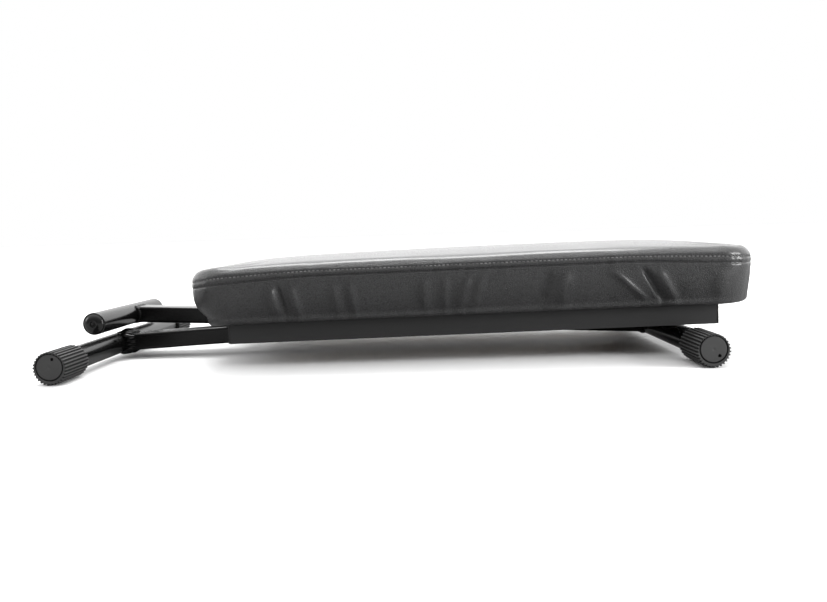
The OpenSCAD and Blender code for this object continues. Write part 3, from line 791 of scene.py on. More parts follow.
def united(points, faces):
    """Points that meet made one, quads cut in triangles that keep three corners, and each point's number."""
    keys = np.round(points * 1e5).astype(int)
    _, first, same = np.unique(keys, axis=0, return_index=True, return_inverse=True)
    same = same.ravel()
    threes = same[np.concatenate([faces[:, [0, 1, 2]], faces[:, [0, 2, 3]]])]
    whole = (threes != np.roll(threes, 1, axis=1)).all(axis=1)
    return points[first], threes[whole], same


def blown_out(points, faces, held, pressure=4.0, frames=20):
    """Vertices of a surface after Cloth under pressure without gravity, its held vertices pinned."""
    mesh = bpy.data.meshes.new("cloth_trial")
    mesh.from_pydata(points, [], faces)
    thing = bpy.data.objects.new("cloth_trial", mesh)
    bpy.context.scene.collection.objects.link(thing)
    thing.vertex_groups.new(name="held").add(held.tolist(), 1.0, "REPLACE")
    cloth = thing.modifiers.new("cloth", "CLOTH")
    settings = cloth.settings
    settings.quality, settings.mass, settings.air_damping = 6, 0.3, 2.0
    settings.tension_stiffness = settings.compression_stiffness = 20.0
    settings.shear_stiffness, settings.bending_stiffness = 8.0, 0.6
    settings.use_pressure, settings.uniform_pressure_force = True, pressure
    settings.effector_weights.gravity = 0.0
    settings.vertex_group_mass = "held"
    cloth.collision_settings.use_collision = False
    cloth.point_cache.frame_start, cloth.point_cache.frame_end = 1, frames
    for step in range(1, frames + 1):
        bpy.context.scene.frame_set(step)
    solved = thing.evaluated_get(bpy.context.evaluated_depsgraph_get()).data
    co = np.empty(len(points) * 3)
    solved.vertices.foreach_get("co", co)
    bpy.context.scene.frame_set(1)
    bpy.data.objects.remove(thing)
    bpy.data.meshes.remove(mesh)
    return co.reshape(-1, 3)


def swell(skin, pinned, every=4, spacing=4.0, cap=3.0):
    """How Cloth moves a skin of rows and columns, its pinned rows held, in millimetres.

    It is solved on every few columns and on rows a spacing apart, then each move m is shortened to
    m * cap / (cap + |m|), loses its row's mean so that the drawn outline stays, is averaged with its
    neighbours, and is spread over the whole grid by straight interpolation.
    """
    rows, columns = skin.shape[:2]
    steps = np.linalg.norm(np.diff(skin, axis=0), axis=2).mean(1)
    marks = np.floor(np.concatenate([[0], np.cumsum(steps)]) / spacing).astype(int)
    chosen = np.unique(np.append(np.flatnonzero(np.diff(marks, prepend=-1)), rows - 1))
    coarse = skin[chosen][:, ::every]
    points, faces = grid(SEAT, coarse)
    single, threes, same = united(points, faces)
    held = np.unique(same.reshape(coarse.shape[:2])[pinned[chosen]])
    moved = (blown_out(single, threes, held) - single)[same].reshape(coarse.shape)
    moved = moved @ SEAT.axes.T * 1000
    moved = moved * cap / (cap + np.linalg.norm(moved, axis=2, keepdims=True))
    moved = moved - moved.mean(axis=1, keepdims=True)
    moved = (np.roll(moved, 1, axis=1) + 2 * moved + np.roll(moved, -1, axis=1)) / 4
    place = np.arange(columns) / every
    left = np.floor(place).astype(int)
    share = (place - left)[None, :, None]
    wide = moved[:, left] * (1 - share) + moved[:, (left + 1) % moved.shape[1]] * share
    spot = np.interp(np.arange(rows), chosen, np.arange(len(chosen)))
    low = np.minimum(spot.astype(int), len(chosen) - 2)
    share = (spot - low)[:, None, None]
    return wide[low] * (1 - share) + wide[low + 1] * share


class BENCH_OT_cushion(bpy.types.Operator):
    """Upholstered cushion: hem, folded side band, pinched seam, rolled edge and crowned top over the board"""

    bl_idname = "bench.cushion"
    bl_label = "Seat cushion"

    def execute(self, context):
        form = Cushion(round_the_seat(1120))
        skin = form.skin(2)
        row = np.arange(len(skin))
        sewn = (row > SEAM_ROWS[0]) & (row < SEAM_ROWS[1])
        skin = skin + swell(skin, (row < HEM_ROWS) | sewn)
        points = np.concatenate([form.pocket(), skin])
        cushion = piece("seat_cushion", [grid(SEAT, points)], 75)
        fit(cushion, "seat", "cover", vinyl(), "seat_cover", "seat_foam")
        return {"FINISHED"}


def capsules(centres, along, out, long, wide, high, columns=6, rows=7):
    """Rounded bars (copies, rows, columns, 3): a superellipse from end to end, ringed by an ellipse across.

    The half width at u from -1 to 1 is wide * (1 - u^4)^0.5; the ring lies in the outward and the side axis.
    """
    u = np.sin(np.linspace(-1, 1, rows) * math.pi / 2)
    size = np.sqrt(np.clip(1 - u ** 4, 0, 1))
    a = np.arange(columns) / columns * 2 * math.pi
    across = np.cross(along, out)
    ring = (np.cos(a)[:, None] * across[:, None, None, :] * wide / 2
            + np.sin(a)[:, None] * out[:, None, None, :] * high / 2)
    return centres[:, None, None, :] + (along[:, None, None, :] * (u * long / 2)[:, None, None]
                                        + ring * size[:, None, None])


def unit(vectors):
    """Vectors over their lengths."""
    return vectors / np.linalg.norm(vectors, axis=-1, keepdims=True)


class BENCH_OT_stitches(bpy.types.Operator):
    """Topstitch row above the seam: one thread loop for each pitch, sunk into the cover"""

    bl_idname = "bench.stitches"
    bl_label = "Topstitching"

    def execute(self, context):
        c = context.scene.bench_cushion
        count = int(perimeter(c.width * 1000, c.depth * 1000, c.corner * 1000) / (c.pitch * 1000))
        s = round_the_seat(count)
        here, ahead = Cushion(s), Cushion(s + 1.0)
        row, above = here.roll([4.6])[0], here.roll([5.4])[0]
        along = unit(ahead.roll([4.6])[0] - row)
        out = unit(np.cross(along, above - here.roll([3.8])[0]))
        out = out * np.sign((out[:, :2] * here.normal).sum(1))[:, None]
        bars = capsules(row + out * 0.2, along, out, c.pitch * 1000 * 0.62, 1.0, 0.8)
        stitches = piece("seam_stitches", [grid(SEAT, bars)], 180)
        fit(stitches, "seat", "cover", thread())
        return {"FINISHED"}


class BENCH_OT_staples(bpy.types.Operator):
    """Wire staples that hold the cover's margin under the board"""

    bl_idname = "bench.staples"
    bl_label = "Margin staples"

    def execute(self, context):
        c = context.scene.bench_cushion
        count = int(perimeter(c.width * 1000, c.depth * 1000, c.corner * 1000) / (c.staple_pitch * 1000))
        form = Cushion(round_the_seat(count))
        inset = c.margin * 1000 - (3.6 * form.side + 13.0 * form.end) - seeded(11, count) * 0.8
        row = form.place(inset, -1.0)
        turn = (seeded(13, count) - 0.5) * 0.3
        tangent = np.stack([-form.normal[:, 1], form.normal[:, 0]], axis=-1)
        along = tangent * np.cos(turn)[:, None] + form.normal * np.sin(turn)[:, None]
        along = np.concatenate([along, np.zeros((count, 1))], axis=1)
        down = np.tile([0.0, 0.0, -1.0], (count, 1))
        rack = SEAT.box("height_rack_front")
        beside = np.abs(np.abs(row[:, 1]) + rack[0][1] / 2 + rack[1][1] / 2) < 18
        clear = ~((row[:, 0] < rack[1][0] + 8) & beside)
        bars = capsules(row, along, down, 10.5, 1.1, 0.7)[clear]
        staples = piece("hem_staples", [grid(SEAT, bars)], 180)
        fit(staples, "seat", "fasteners", plated())
        return {"FINISHED"}


# ---- Frame --------------------------------------------------------------------------------


def section_loop(size, corner, count):
    """A tube's section by arc length: points (n, 2) across and up, and outward normals."""
    s = (np.arange(count) + 0.5) / count * perimeter(size[0], size[1], corner)
    return outline(s, size[0], size[1], corner)


def coped_tube(place, node, corner):
    """A rectangular tube between two round bars: each section point ends on the bar, at sqrt(R^2 - z^2)."""
    low, high = place.box(node)
    axis = [0.0, LEG_LENGTH] if place is FRONT_LEG else [-LEG_LENGTH, 0.0]
    loop, _ = section_loop((high[1] - low[1], high[2] - low[2]), corner, 96)
    y, z = loop[:, 0] + (low[1] + high[1]) / 2, loop[:, 1] + (low[2] + high[2]) / 2
    cope = np.sqrt(np.clip(BAR_RADIUS ** 2 - z ** 2, 0, None)) - 0.3
    start, stop = axis[0] + cope, axis[1] - cope
    share = np.linspace(0, 1, 24)[:, None]
    x = start + (stop - start) * share
    rows = np.stack([x, y + 0 * x, z + 0 * x], axis=-1)
    middle = np.array([0, (low[1] + high[1]) / 2, 0])
    ends = [np.broadcast_to(middle + [axis[0] + BAR_RADIUS - 0.3, 0, 0], (1, 96, 3)),
            np.broadcast_to(middle + [axis[1] - BAR_RADIUS + 0.3, 0, 0], (1, 96, 3))]
    return np.concatenate([ends[0], rows, ends[1]])


class BENCH_OT_leg_tubes(bpy.types.Operator):
    """The two rectangular leg tubes, with rolled corners and coped ends"""

    bl_idname = "bench.leg_tubes"
    bl_label = "Leg tubes"

    def execute(self, context):
        corner = context.scene.bench_frame.corner * 1000
        for name, node, place, body in (("front_leg_tube", "leg_tube_front", FRONT_LEG, "front_leg"),
                                        ("back_leg_tube", "leg_tube_back", BACK_LEG, "back_leg")):
            tube = piece(name, [grid(place, coped_tube(place, node, corner))], 60)
            fit(tube, body, "frame_paint", frame_paint(), node)
        return {"FINISHED"}


def weld_bead(place, node, at_low, radius, rough, seed):
    """A lumpy bead round a tube's end, where it meets a bar.

    Its centre line is the tube's section at x = sqrt(R^2 - z^2). Its ring has the radius times one plus a
    saw-like ripple along the line and slow seeded swellings.
    """
    low, high = place.box(node)
    loop, normal = section_loop((high[1] - low[1], high[2] - low[2]), 3.0, 320)
    y, z = loop[:, 0] + (low[1] + high[1]) / 2, loop[:, 1] + (low[2] + high[2]) / 2
    cope = np.sqrt(np.clip(BAR_RADIUS ** 2 - z ** 2, 0, None))
    axis = [0.0, LEG_LENGTH] if place is FRONT_LEG else [-LEG_LENGTH, 0.0]
    sign = 1 if at_low else -1
    x = axis[0 if at_low else 1] + sign * (cope + 0.6)
    around = np.arange(320) / 320 * 2 * math.pi
    phases = seeded(seed, 8) * 6.28
    slow = sum(np.sin(around * k + p) for k, p in zip((3, 5, 8, 13), phases)) / 4
    spacing = 2 * (high[1] - low[1] + high[2] - low[2]) / (bpy.context.scene.bench_frame.ripple * 1000)
    ripple = np.abs(np.sin(around * round(spacing) / 2 + 0.8 * slow)) - 0.6
    size = radius * (1 + rough * 0.25 * slow + (0.1 + 0.12 * rough) * ripple)
    a = np.arange(18) / 18 * 2 * math.pi
    lump = 1 + rough * 0.1 * np.sin(a[None] * 3 + around[:, None] * 17 + phases[5])
    size = size[:, None] * lump
    out = np.concatenate([np.zeros((320, 1)), normal], axis=1)[:, None]
    centre = np.stack([x, y, z], axis=-1)[:, None] - out * radius * 0.35
    ring = centre + out * (size * np.cos(a))[..., None]
    ring = ring + np.array([(1.25 + 0.45 * rough) * sign, 0, 0]) * (size * np.sin(a))[..., None]
    return np.concatenate([ring, ring[:1]])


class BENCH_OT_welds(bpy.types.Operator):
    """Weld beads round the four joints of tube and bar; the one at the left foot bar is rough"""

    bl_idname = "bench.welds"
    bl_label = "Weld beads"

    def execute(self, context):
        bead = context.scene.bench_frame.bead * 1000
        joints = (("weld_left_foot", "leg_tube_front", FRONT_LEG, True, 2.0, 1.0, "front_leg"),
                  ("weld_hinge_bar", "leg_tube_front", FRONT_LEG, False, 0.9, 0.25, "front_leg"),
                  ("weld_rest_bar", "leg_tube_back", BACK_LEG, True, 0.75, 0.2, "back_leg"),
                  ("weld_right_foot", "leg_tube_back", BACK_LEG, False, 1.0, 0.4, "back_leg"))
        for seed, (name, node, place, low, size, rough, body) in enumerate(joints):
            points = weld_bead(place, node, low, bead * size, rough, seed + 21)
            weld = piece(name, [grid(place, points)], 180)
            fit(weld, body, "frame_paint", frame_paint())
        return {"FINISHED"}


# ---- Caps, plugs and fasteners ------------------------------------------------------------


def foot_cap(node, ribs, groove, disc, turn):
    """A ribbed foot cap as rows of a radius round an axis that shifts from the cap's to the bore's.

    From the bore's bottom: up the bore, over the inner end, along the ribs, round the rim, over the face and
    a ring groove to the disc, which has a dimple and a round hole away from its middle. Between two ribs the
    radius is less by the groove's depth, on smooth steps.
    """
    low, high = (np.array(v) * 1000 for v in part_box(node))
    side = 1 if low[1] > 0 else -1
    centre = (low + high) / 2
    radius, long = (high[0] - low[0]) / 2, high[1] - low[1]
    bar = LEFT_AXIS if abs(centre[0] / 1000 - LEFT_AXIS[0]) < 0.05 else RIGHT_AXIS
    lift = bar[2] * 1000 - centre[2]
    steps = np.array([0.0, 0.14, 0.28, 0.42, 0.49, 0.56, 0.71, 0.86, 0.93])
    valley = np.tile(np.array([1, 1, 1, 1, 0.5, 0, 0, 0, 0.5]), ribs)
    angle = ((np.arange(ribs)[:, None] + steps[None]) / ribs * 2 * math.pi).ravel()
    bore = BAR_RADIUS + 0.06
    inner = np.array([[0, long - 5, 0, 1], [bore, long - 5, 0, 1], [bore, 0.8, 0, 1], [bore + 0.7, 0, 0, 1],
                      [radius - 2.2, 0, 0, 0], [radius - 1.3, 0.25, 0.1, 0], [radius - 0.3, 1.0, 0.75, 0],
                      [radius, 1.8, 1, 0]])
    ribbed = np.array([[radius, y, 1, 0] for y in np.linspace(5, long - 5.5, 12)])
    a = np.linspace(0, math.pi / 2, 7)
    rim = np.stack([radius - 1.0 * (1 - np.cos(a)), long - 1.0 * (1 - np.sin(a)),
                    np.linspace(1.0, 0.55, 7), np.zeros(7)], axis=1)
    u = np.linspace(0, 1, 9)
    lip = np.stack([radius - 1.0 - (radius - 2.5 - disc) * u, long + 0 * u, 0.5 * (1 - ease(u, 0, 0.4)),
                    ease(u, 0.1, 1)], axis=1)
    trench = np.array([[disc + 1.3, long - 0.2, 0, 1], [disc + 1.15, long - 2.8, 0, 1],
                       [disc, long - 2.8, 0, 1], [disc - 0.12, long - 0.6, 0, 1],
                       [disc - 0.4, long - 0.3, 0, 1]])
    r = np.linspace(disc - 0.7, 0, 36)
    face = np.stack([r, long - 0.25 - 0.35 * np.exp(-(r / 1.1) ** 2), 0 * r, 0 * r + 1], axis=1)
    rows = np.concatenate([inner, ribbed, rim, lip, trench, face])
    size = rows[:, :1] - groove * rows[:, 2:3] * valley
    x, z = size * np.cos(angle), size * np.sin(angle) + lift * rows[:, 3:4]
    y = rows[:, 1:2] + 0 * x
    away = np.hypot(x - 8.6 * math.cos(turn), z - lift - 8.6 * math.sin(turn))
    on_face = (np.arange(len(rows)) >= len(rows) - 36)[:, None]
    y = y - on_face * 4.0 * (1 - ease(away, 1.25, 1.65))
    start = low[1] if side > 0 else high[1]
    return np.stack([x + centre[0], start + side * y, z + centre[2]], axis=-1)


def mark_painted_groove_shade(cap, node, groove):
    """Stores how deep each vertex lies below the ribs, from 0 to 1, as an attribute of the cap; the rubber
    darkens the grooves by it as painted shade.
    """
    low, high = (np.array(v) * 1000 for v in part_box(node))
    centre, radius = (low + high) / 2, (high[0] - low[0]) / 2
    co = np.empty(len(cap.data.vertices) * 3)
    cap.data.vertices.foreach_get("co", co)
    co = co.reshape(-1, 3) * 1000
    away = np.hypot(co[:, 0] - centre[0], co[:, 2] - centre[2])
    out = np.abs(co[:, 1]) - min(abs(low[1]), abs(high[1]))
    # This mask carries painted shade: the rubber material darkens the grooves by it.
    deep = ease(radius - away, 0.1, groove * 0.7) * (out < high[1] - low[1] - 0.9)
    mark = cap.data.attributes.new("recess", "FLOAT", "POINT")
    mark.data.foreach_set("value", np.clip(deep, 0, 1))


class BENCH_OT_foot_caps(bpy.types.Operator):
    """The four ribbed rubber foot caps, each turned to its own place"""

    bl_idname = "bench.foot_caps"
    bl_label = "Foot caps"

    def execute(self, context):
        f = context.scene.bench_fittings
        caps = (("left_front", "left_feet", 68), ("left_back", "left_feet", 205),
                ("right_front", "right_front_foot", -48), ("right_back", "right_back_foot", 150))
        for name, body, turn in caps:
            node = f"foot_cap_{name}"
            points = foot_cap(node, f.ribs, f.groove * 1000, f.disc * 1000, math.radians(turn))
            cap = piece(f"ribbed_cap_{name}", [grid(Place((0, 0, 0)), points)], 42)
            # Marks the rib grooves for the painted shade in the rubber.
            mark_painted_groove_shade(cap, node, f.groove * 1000)
            fit(cap, body, "cap_rubber", rubber(), node)
        return {"FINISHED"}


class BENCH_OT_bar_plugs(bpy.types.Operator):
    """The two domed plugs of the rest bar: a grooved rim, a dome and a nub in a dimple"""

    bl_idname = "bench.bar_plugs"
    bl_label = "Domed bar plugs"

    def execute(self, context):
        profile = np.array([[0, -12], [9.6, -12], [10.9, -11], [11.1, 0], [12.5, 0], [12.7, 0.3],
                            [12.7, 1.2], [12.45, 1.7], [11.9, 1.9], [11.55, 1.55], [11.2, 1.6],
                            [10.95, 2.0], [10.4, 2.6],
                            [9.2, 3.45], [7.8, 4.1], [6.2, 4.6], [4.8, 4.88], [3.9, 5.0], [3.45, 4.9],
                            [3.2, 4.5], [3.05, 3.4], [2.6, 3.2], [1.7, 3.2], [1.45, 3.5], [1.3, 4.2],
                            [0.9, 4.5],
                            [0.0, 4.55]])
        for name, side in (("front", -1), ("back", 1)):
            node = f"rest_bar_plug_{name}"
            low, high = BACK_LEG.box(node)
            face = high[1] - 5 if side > 0 else low[1] + 5
            scale = BAR_RADIUS / 12.7
            points = turned(profile[:, 0] * scale, profile[:, 1], 96, side, (-LEG_LENGTH, face, 0))
            plug = piece(f"domed_plug_{name}", [grid(BACK_LEG, points)], 38)
            fit(plug, "back_leg", "plug_plastic", plastic(), node)
        return {"FINISHED"}


def hexagon(columns, across):
    """Radius of a hexagon by angle: half its width across flats over the cosine from the nearest flat."""
    a = np.arange(columns) / columns * 2 * math.pi
    return across / 2 / np.cos((a + math.pi / 6) % (math.pi / 3) - math.pi / 6)


def hex_rows(across, rounds, axial, columns=72):
    """Rows of a hexagon cut by a circle: the radius is the lesser of the two, which chamfers the corners."""
    six = hexagon(columns, across)
    return np.minimum(six[None], np.asarray(rounds, float)[:, None]), np.asarray(axial, float)


def bolt(shank, tip, seat, head, across, washer=0.0, wide=0.0):
    """A hexagon-head bolt along Y from its tip to its head's crown, with a washer under the head if asked."""
    side = 1 if head > seat else -1
    high = abs(head - seat) - washer
    full = across * 0.58
    radii, axial = [0.0, shank - 0.7, shank, shank], [tip, tip, tip + side * 0.8, seat]
    if washer:
        radii += [wide - 0.2, wide, wide, wide - 0.2]
        axial += [seat, seat + side * 0.2, seat + side * (washer - 0.2), seat + side * washer]
    base = seat + side * washer
    rounds = [across * 0.47, across * 0.49, full, full, full * 0.97, full * 0.9, across * 0.44, across * 0.4,
              0.0]
    places = [0.0, 0.35, 0.45, 0.74 * high, 0.86 * high, 0.95 * high, high, high - 0.25, high - 0.3]
    hexes, spots = hex_rows(across, rounds, [base + side * p for p in places])
    round_rows = np.asarray(radii, float)[:, None] * np.ones(72)
    return turned(np.concatenate([round_rows, hexes]), np.concatenate([axial, spots]), 72)


class BENCH_OT_bolts(bpy.types.Operator):
    """The pivot bolt with its nut, and the two hinge bolts with their washers"""

    bl_idname = "bench.bolts"
    bl_label = "Bolts and nut"

    def execute(self, context):
        low, high = FRONT_LEG.box("pivot_bolt")
        head = FRONT_LEG.box("pivot_washer_front")
        nut = FRONT_LEG.box("pivot_nut")
        across = min(nut[1][2] - nut[0][2], nut[1][0] - nut[0][0])
        bush = FRONT_LEG.box("pivot_bush_front")
        shank = (bush[1][2] - bush[0][2]) / 2 - 2.05
        middle = np.array([(head[0][0] + head[1][0]) / 2, 0, (head[0][2] + head[1][2]) / 2])
        points = bolt(shank, high[1], head[0][1], low[1], across) + middle
        made = piece("hex_pivot_bolt", [grid(FRONT_LEG, points)], 28)
        fit(made, "front_leg", "fasteners", plated(), "pivot_bolt")
        full = across * 0.58
        rounds = [shank, shank + 0.6, full * 0.93, full, full, full * 0.93, shank + 0.6, shank, shank]
        tall = nut[1][1] - nut[0][1]
        places = [0.6, 0.0, 0.0, 0.9, tall - 0.9, tall, tall, tall - 0.6, 0.6]
        hexes, spots = hex_rows(across, rounds, [nut[0][1] + p for p in places])
        points = turned(hexes, spots, 72) + middle
        made = piece("hex_pivot_nut", [grid(FRONT_LEG, points)], 28)
        fit(made, "front_leg", "fasteners", plated(), "pivot_nut")
        for name, side in (("front", -1), ("back", 1)):
            node = f"hinge_bolt_{name}"
            low, high = FRONT_LEG.box(node)
            near, far = (low[1], high[1]) if side > 0 else (high[1], low[1])
            washer = FRONT_LEG.box("pivot_washer_front")
            thick, wide = washer[1][1] - washer[0][1], (washer[1][2] - washer[0][2]) / 2
            tall = 0.66 * 2 * shank
            seat = far - side * (tall + thick)
            points = bolt(shank, near, seat, far, across, thick, wide) + [LEG_LENGTH, 0, 0]
            made = piece(f"hex_{node}", [grid(FRONT_LEG, points)], 28)
            fit(made, "front_leg", "fasteners", plated(), node)
        return {"FINISHED"}


def screw_spots(node):
    """Centres of the screws of a node: its lowest vertices, parted where their places along X or Y jump."""
    points = SEAT.vertices(node)
    rim = points[points[:, 2] < points[:, 2].min() + 0.01]
    columns = np.split(rim[np.argsort(rim[:, 0])], np.flatnonzero(np.diff(np.sort(rim[:, 0])) > 5) + 1)
    rows = [half for column in columns for half in (column[column[:, 1] < 0], column[column[:, 1] > 0])]
    return np.array([(half.min(0) + half.max(0)) / 2 for half in rows if len(half)])


class BENCH_OT_screws(bpy.types.Operator):
    """Pan-head screws under the rails, racks and brackets, each with a cross recess"""

    bl_idname = "bench.screws"
    bl_label = "Screws"

    def execute(self, context):
        for name in ("rail_screws", "rack_screws", "bracket_screws"):
            low, high = SEAT.box(name)
            spots = screw_spots(name)
            head, shank, tall = 5.0, 2.5, 2.8
            full = high[2] - low[2]
            a = np.arange(48) / 48 * 2 * math.pi
            cross = 1.0 + 1.5 * np.cos(2 * a) ** 12
            radii = [0.0, 1.2, shank, shank, head - 0.25, head, head - 0.15, head - 0.7, head - 1.6, 2.75]
            axial = [full, full - 0.8, full - 3.5, tall, tall, tall - 0.3, 1.35, 0.6, 0.12, 0.0]
            rings = np.asarray(radii)[:, None] * np.ones(48)
            recess = np.stack([cross * 1.0, cross * 0.92, cross * 0.6, cross * 0.0])
            deep = [0.0, 0.25, 1.4, 1.7]
            r = np.concatenate([rings, recess])
            z = np.concatenate([axial, deep])[:, None] + 0 * r
            one = np.stack([r * np.cos(a), r * np.sin(a), z], axis=-1)
            copies = spots[:, None, None, :] * [1, 1, 0] + one[None] + [0, 0, low[2]]
            made = piece(name.replace("screws", "screw_heads"), [grid(SEAT, copies)], 30)
            fit(made, "seat", "fasteners", plated(), name)
        return {"FINISHED"}


def smooth_group():
    """A geometry group that shades smooth, and keeps edges over 32 degrees sharp."""
    if "bench_smooth" in bpy.data.node_groups:
        return bpy.data.node_groups["bench_smooth"]
    made = bpy.data.node_groups.new("bench_smooth", "GeometryNodeTree")
    made.interface.new_socket("Geometry", in_out="INPUT", socket_type="NodeSocketGeometry")
    made.interface.new_socket("Geometry", in_out="OUTPUT", socket_type="NodeSocketGeometry")
    tree = Tree(made)
    source, sink = made.nodes.new("NodeGroupInput"), made.nodes.new("NodeGroupOutput")
    faces = tree.add("GeometryNodeSetShadeSmooth", {"domain": "FACE"}, Geometry=source.outputs[0])
    wide = tree.add("FunctionNodeCompare", {"data_type": "FLOAT", "operation": "GREATER_THAN"})
    tree.join(tree.add("GeometryNodeInputMeshEdgeAngle").outputs[0], wide.inputs[0])
    wide.inputs[1].default_value = math.radians(32)
    edges = tree.add("GeometryNodeSetShadeSmooth", {"domain": "EDGE"}, Geometry=faces.outputs[0],
                     Selection=wide.outputs[0])
    edges.inputs["Shade Smooth"].default_value = False
    made.links.new(edges.outputs[0], sink.inputs[0])
    return made


def dress(node, finish, radius=None):
    """Gives a CAD node its material, joins its loose triangles, and rounds and smooths its edges."""
    thing = frame["nodes"][node]
    thing.data.materials.clear()
    thing.data.materials.append(finish)
    weld = thing.modifiers.new("join", "WELD")
    weld.merge_threshold = 1e-5
    if radius:
        rounding = thing.modifiers.new("edges", "BEVEL")
        rounding.width, rounding.segments, rounding.limit_method = radius, 2, "ANGLE"
        rounding.angle_limit = math.radians(45)
    thing.modifiers.new("smooth", "NODES").node_group = smooth_group()
    level = thing.modifiers.new("level", "WEIGHTED_NORMAL")
    level.keep_sharp = True


class BENCH_OT_metalwork(bpy.types.Operator):
    """Finishes of the bars, rails, brackets, racks, bushes, washers and board"""

    bl_idname = "bench.metalwork"
    bl_label = "Metalwork and board"

    def execute(self, context):
        edge = context.scene.bench_frame.edge
        for node in ("foot_bar_left", "foot_bar_right", "rest_bar", "hinge_bar"):
            dress(node, frame_paint())
        for node in ("rail_front", "rail_back"):
            dress(node, rail_paint(), edge)
        for node in ("hinge_bracket_front", "hinge_bracket_back", "height_rack_front", "height_rack_back"):
            dress(node, bracket_paint(), edge * 0.6)
        dress("rail_end_plugs", plastic(), edge * 1.2)
        for node in ("hinge_bar_inserts", "pivot_washer_front", "pivot_washer_back"):
            dress(node, plated(), 0.0002)
        dress("pivot_spacer", black_nylon(), 0.0003)
        for node in ("hinge_bush_front", "hinge_bush_back", "pivot_bush_front", "pivot_bush_back"):
            dress(node, nylon(), 0.0002)
        dress("seat_board", plywood(), 0.0006)
        return {"FINISHED"}


# ---- Stage --------------------------------------------------------------------------------


def floor_material(tint, bounce):
    """A pale seamless sweep with a faint fibre, which gives back less light to the bench than to the eye."""

    def paint(tree, inputs, point, normal):
        cloud = tree.noise(point, 3.0, 2.0)
        seen = tree.add("ShaderNodeLightPath").outputs["Is Camera Ray"]
        pale = tree.blend(cloud, scaled_tone(tint, 0.99), scaled_tone(tint, 1.01))
        tree.join(tree.blend(seen, scaled_tone(tint, bounce), pale), inputs["Base Color"])
        tree.join(tree.remap(tree.noise(point, 60.0, 3.0), 0.3, 0.7, 0.5, 0.6), inputs["Roughness"])
        inputs["Specular IOR Level"].default_value = 0.2

    return material("pale sweep", paint)


def sky(fill):
    """World light: white to the camera, elsewhere shaded from the dim front to the bright back and top."""
    world = bpy.data.worlds.new("bench studio")
    bpy.context.scene.world = world
    world.use_nodes = True
    world.node_tree.nodes.clear()
    tree = Tree(world.node_tree)
    way = tree.add("ShaderNodeSeparateXYZ", Vector=tree.add("ShaderNodeTexCoord").outputs["Generated"])
    depth = tree.maths("MULTIPLY_ADD", way.outputs[2], 0.9, way.outputs[1])
    power = tree.remap(depth, -0.75, 0.75, fill, 1.7)
    soft = tree.add("ShaderNodeBackground", Color=(1, 1, 1, 1), Strength=power)
    clear = tree.add("ShaderNodeBackground", Color=(1, 1, 1, 1), Strength=1.0)
    seen = tree.add("ShaderNodeLightPath").outputs["Is Camera Ray"]
    mix = tree.add("ShaderNodeMixShader")
    tree.join(seen, mix.inputs[0])
    tree.join(soft.outputs[0], mix.inputs[1])
    tree.join(clear.outputs[0], mix.inputs[2])
    sink = tree.add("ShaderNodeOutputWorld")
    tree.join(mix.outputs[0], sink.inputs[0])


def softbox(name, place, target, wide, tall, power):
    """A rectangular area light that faces a target."""
    light = bpy.data.lights.new(name, "AREA")
    light.shape, light.size, light.size_y, light.energy = "RECTANGLE", wide, tall, power
    lamp = bpy.data.objects.new(name, light)
    lamp.location = place
    lamp.rotation_euler = (Vector(target) - Vector(place)).to_track_quat("-Z", "Y").to_euler()
    bpy.context.scene.collection.objects.link(lamp)


# Degrees by which the camera turns to the left, looks down, and leans about its own axis.
YAW, PITCH, ROLL = 1.03, 4.89, -1.735


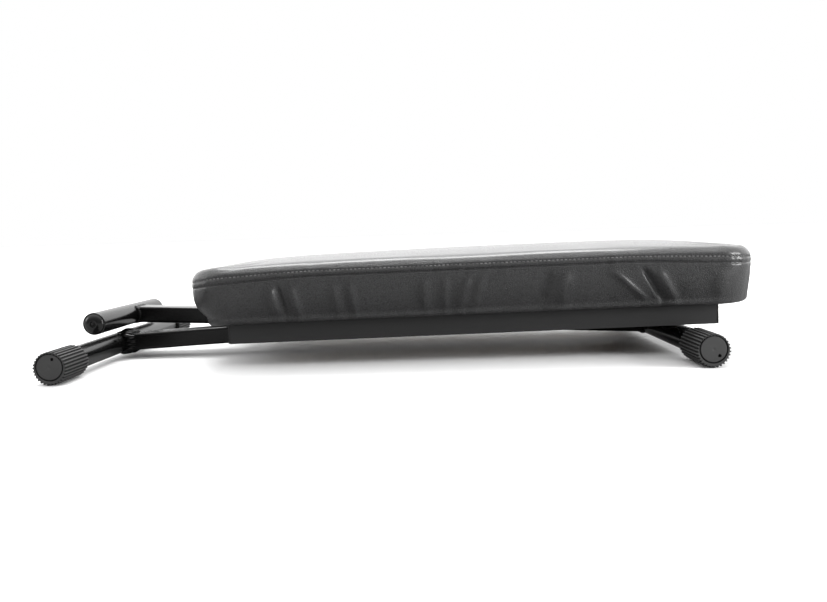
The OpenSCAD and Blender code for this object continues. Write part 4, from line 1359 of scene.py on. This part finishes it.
class BENCH_OT_stage(bpy.types.Operator):
    """Pale floor, soft studio light and the camera low in front of the bench"""

    bl_idname = "bench.stage"
    bl_label = "Stage"

    def execute(self, context):
        c = context.scene.bench_stage
        reach = 40.0
        corners = np.array([[-reach, -reach, 0], [reach, -reach, 0], [reach, reach, 0], [-reach, reach, 0]])
        mesh = bpy.data.meshes.new("floor")
        mesh.from_pydata(corners, [], [(0, 1, 2, 3)])
        floor = bpy.data.objects.new("floor", mesh)
        context.scene.collection.objects.link(floor)
        mesh.materials.append(floor_material(c.floor, c.bounce))
        sky(c.fill)
        softbox("top softbox", (-0.1, 0.8, 1.8), (0, 0, 0.05), 1.7, 0.7, 40)
        softbox("right softbox", (1.75, -0.85, 0.55), (0.15, -0.15, 0.05), 0.6, 0.9, 27)
        softbox("left softbox", (-1.7, -0.5, 0.6), (-0.2, -0.15, 0.05), 0.2, 0.5, 2.5)
        camera = bpy.data.objects.new("camera", bpy.data.cameras.new("camera"))
        context.scene.collection.objects.link(camera)
        camera.data.lens, camera.data.sensor_width = c.lens, 36.0
        camera.data.clip_start, camera.data.clip_end = 0.02, 50.0
        down = Matrix.Rotation(math.radians(90 - PITCH), 4, "X")
        turn = Matrix.Rotation(math.radians(YAW), 4, "Z") @ down
        place = Matrix.Translation((LEFT_AXIS[0] + c.offset, -c.distance, c.height))
        camera.matrix_world = place @ turn @ Matrix.Rotation(math.radians(ROLL), 4, "Z")
        context.scene.camera = camera
        context.scene.view_settings.view_transform = "Standard"
        return {"FINISHED"}


# ---- Panel and registration ---------------------------------------------------------------

GROUP_TYPES = (BenchCushion, BenchFrame, BenchFittings, BenchStage)
OPERATORS = (BENCH_OT_metalwork, BENCH_OT_cushion, BENCH_OT_stitches, BENCH_OT_staples, BENCH_OT_leg_tubes,
             BENCH_OT_welds, BENCH_OT_foot_caps, BENCH_OT_bar_plugs, BENCH_OT_bolts, BENCH_OT_screws,
             BENCH_OT_stage)
SETTINGS = {"bench_cushion": BenchCushion, "bench_frame": BenchFrame, "bench_fittings": BenchFittings,
            "bench_stage": BenchStage}


class BENCH_PT_panel(bpy.types.Panel):
    """Settings and pieces of the bench"""

    bl_idname = "BENCH_PT_panel"
    bl_label = "Folding piano bench"
    bl_space_type = "VIEW_3D"
    bl_region_type = "UI"
    bl_category = "Bench"

    def draw(self, context):
        for key, kind in SETTINGS.items():
            box = self.layout.box()
            for prop in kind.__annotations__:
                box.prop(getattr(context.scene, key), prop)
        for operator in OPERATORS:
            self.layout.operator(operator.bl_idname)


def register():
    """Registers the classes and hangs the settings on the scene."""
    for kind in GROUP_TYPES + OPERATORS + (BENCH_PT_panel,):
        bpy.utils.register_class(kind)
    for key, kind in SETTINGS.items():
        setattr(bpy.types.Scene, key, PointerProperty(type=kind))


def unregister():
    """Takes the settings off the scene and the classes out."""
    for key in SETTINGS:
        delattr(bpy.types.Scene, key)
    for kind in reversed(GROUP_TYPES + OPERATORS + (BENCH_PT_panel,)):
        bpy.utils.unregister_class(kind)


def main():
    register()
    for operator in OPERATORS:
        family, name = operator.bl_idname.split(".")
        getattr(getattr(bpy.ops, family), name)()
    bpy.context.view_layer.update()


if __name__ == "__main__":
    main()
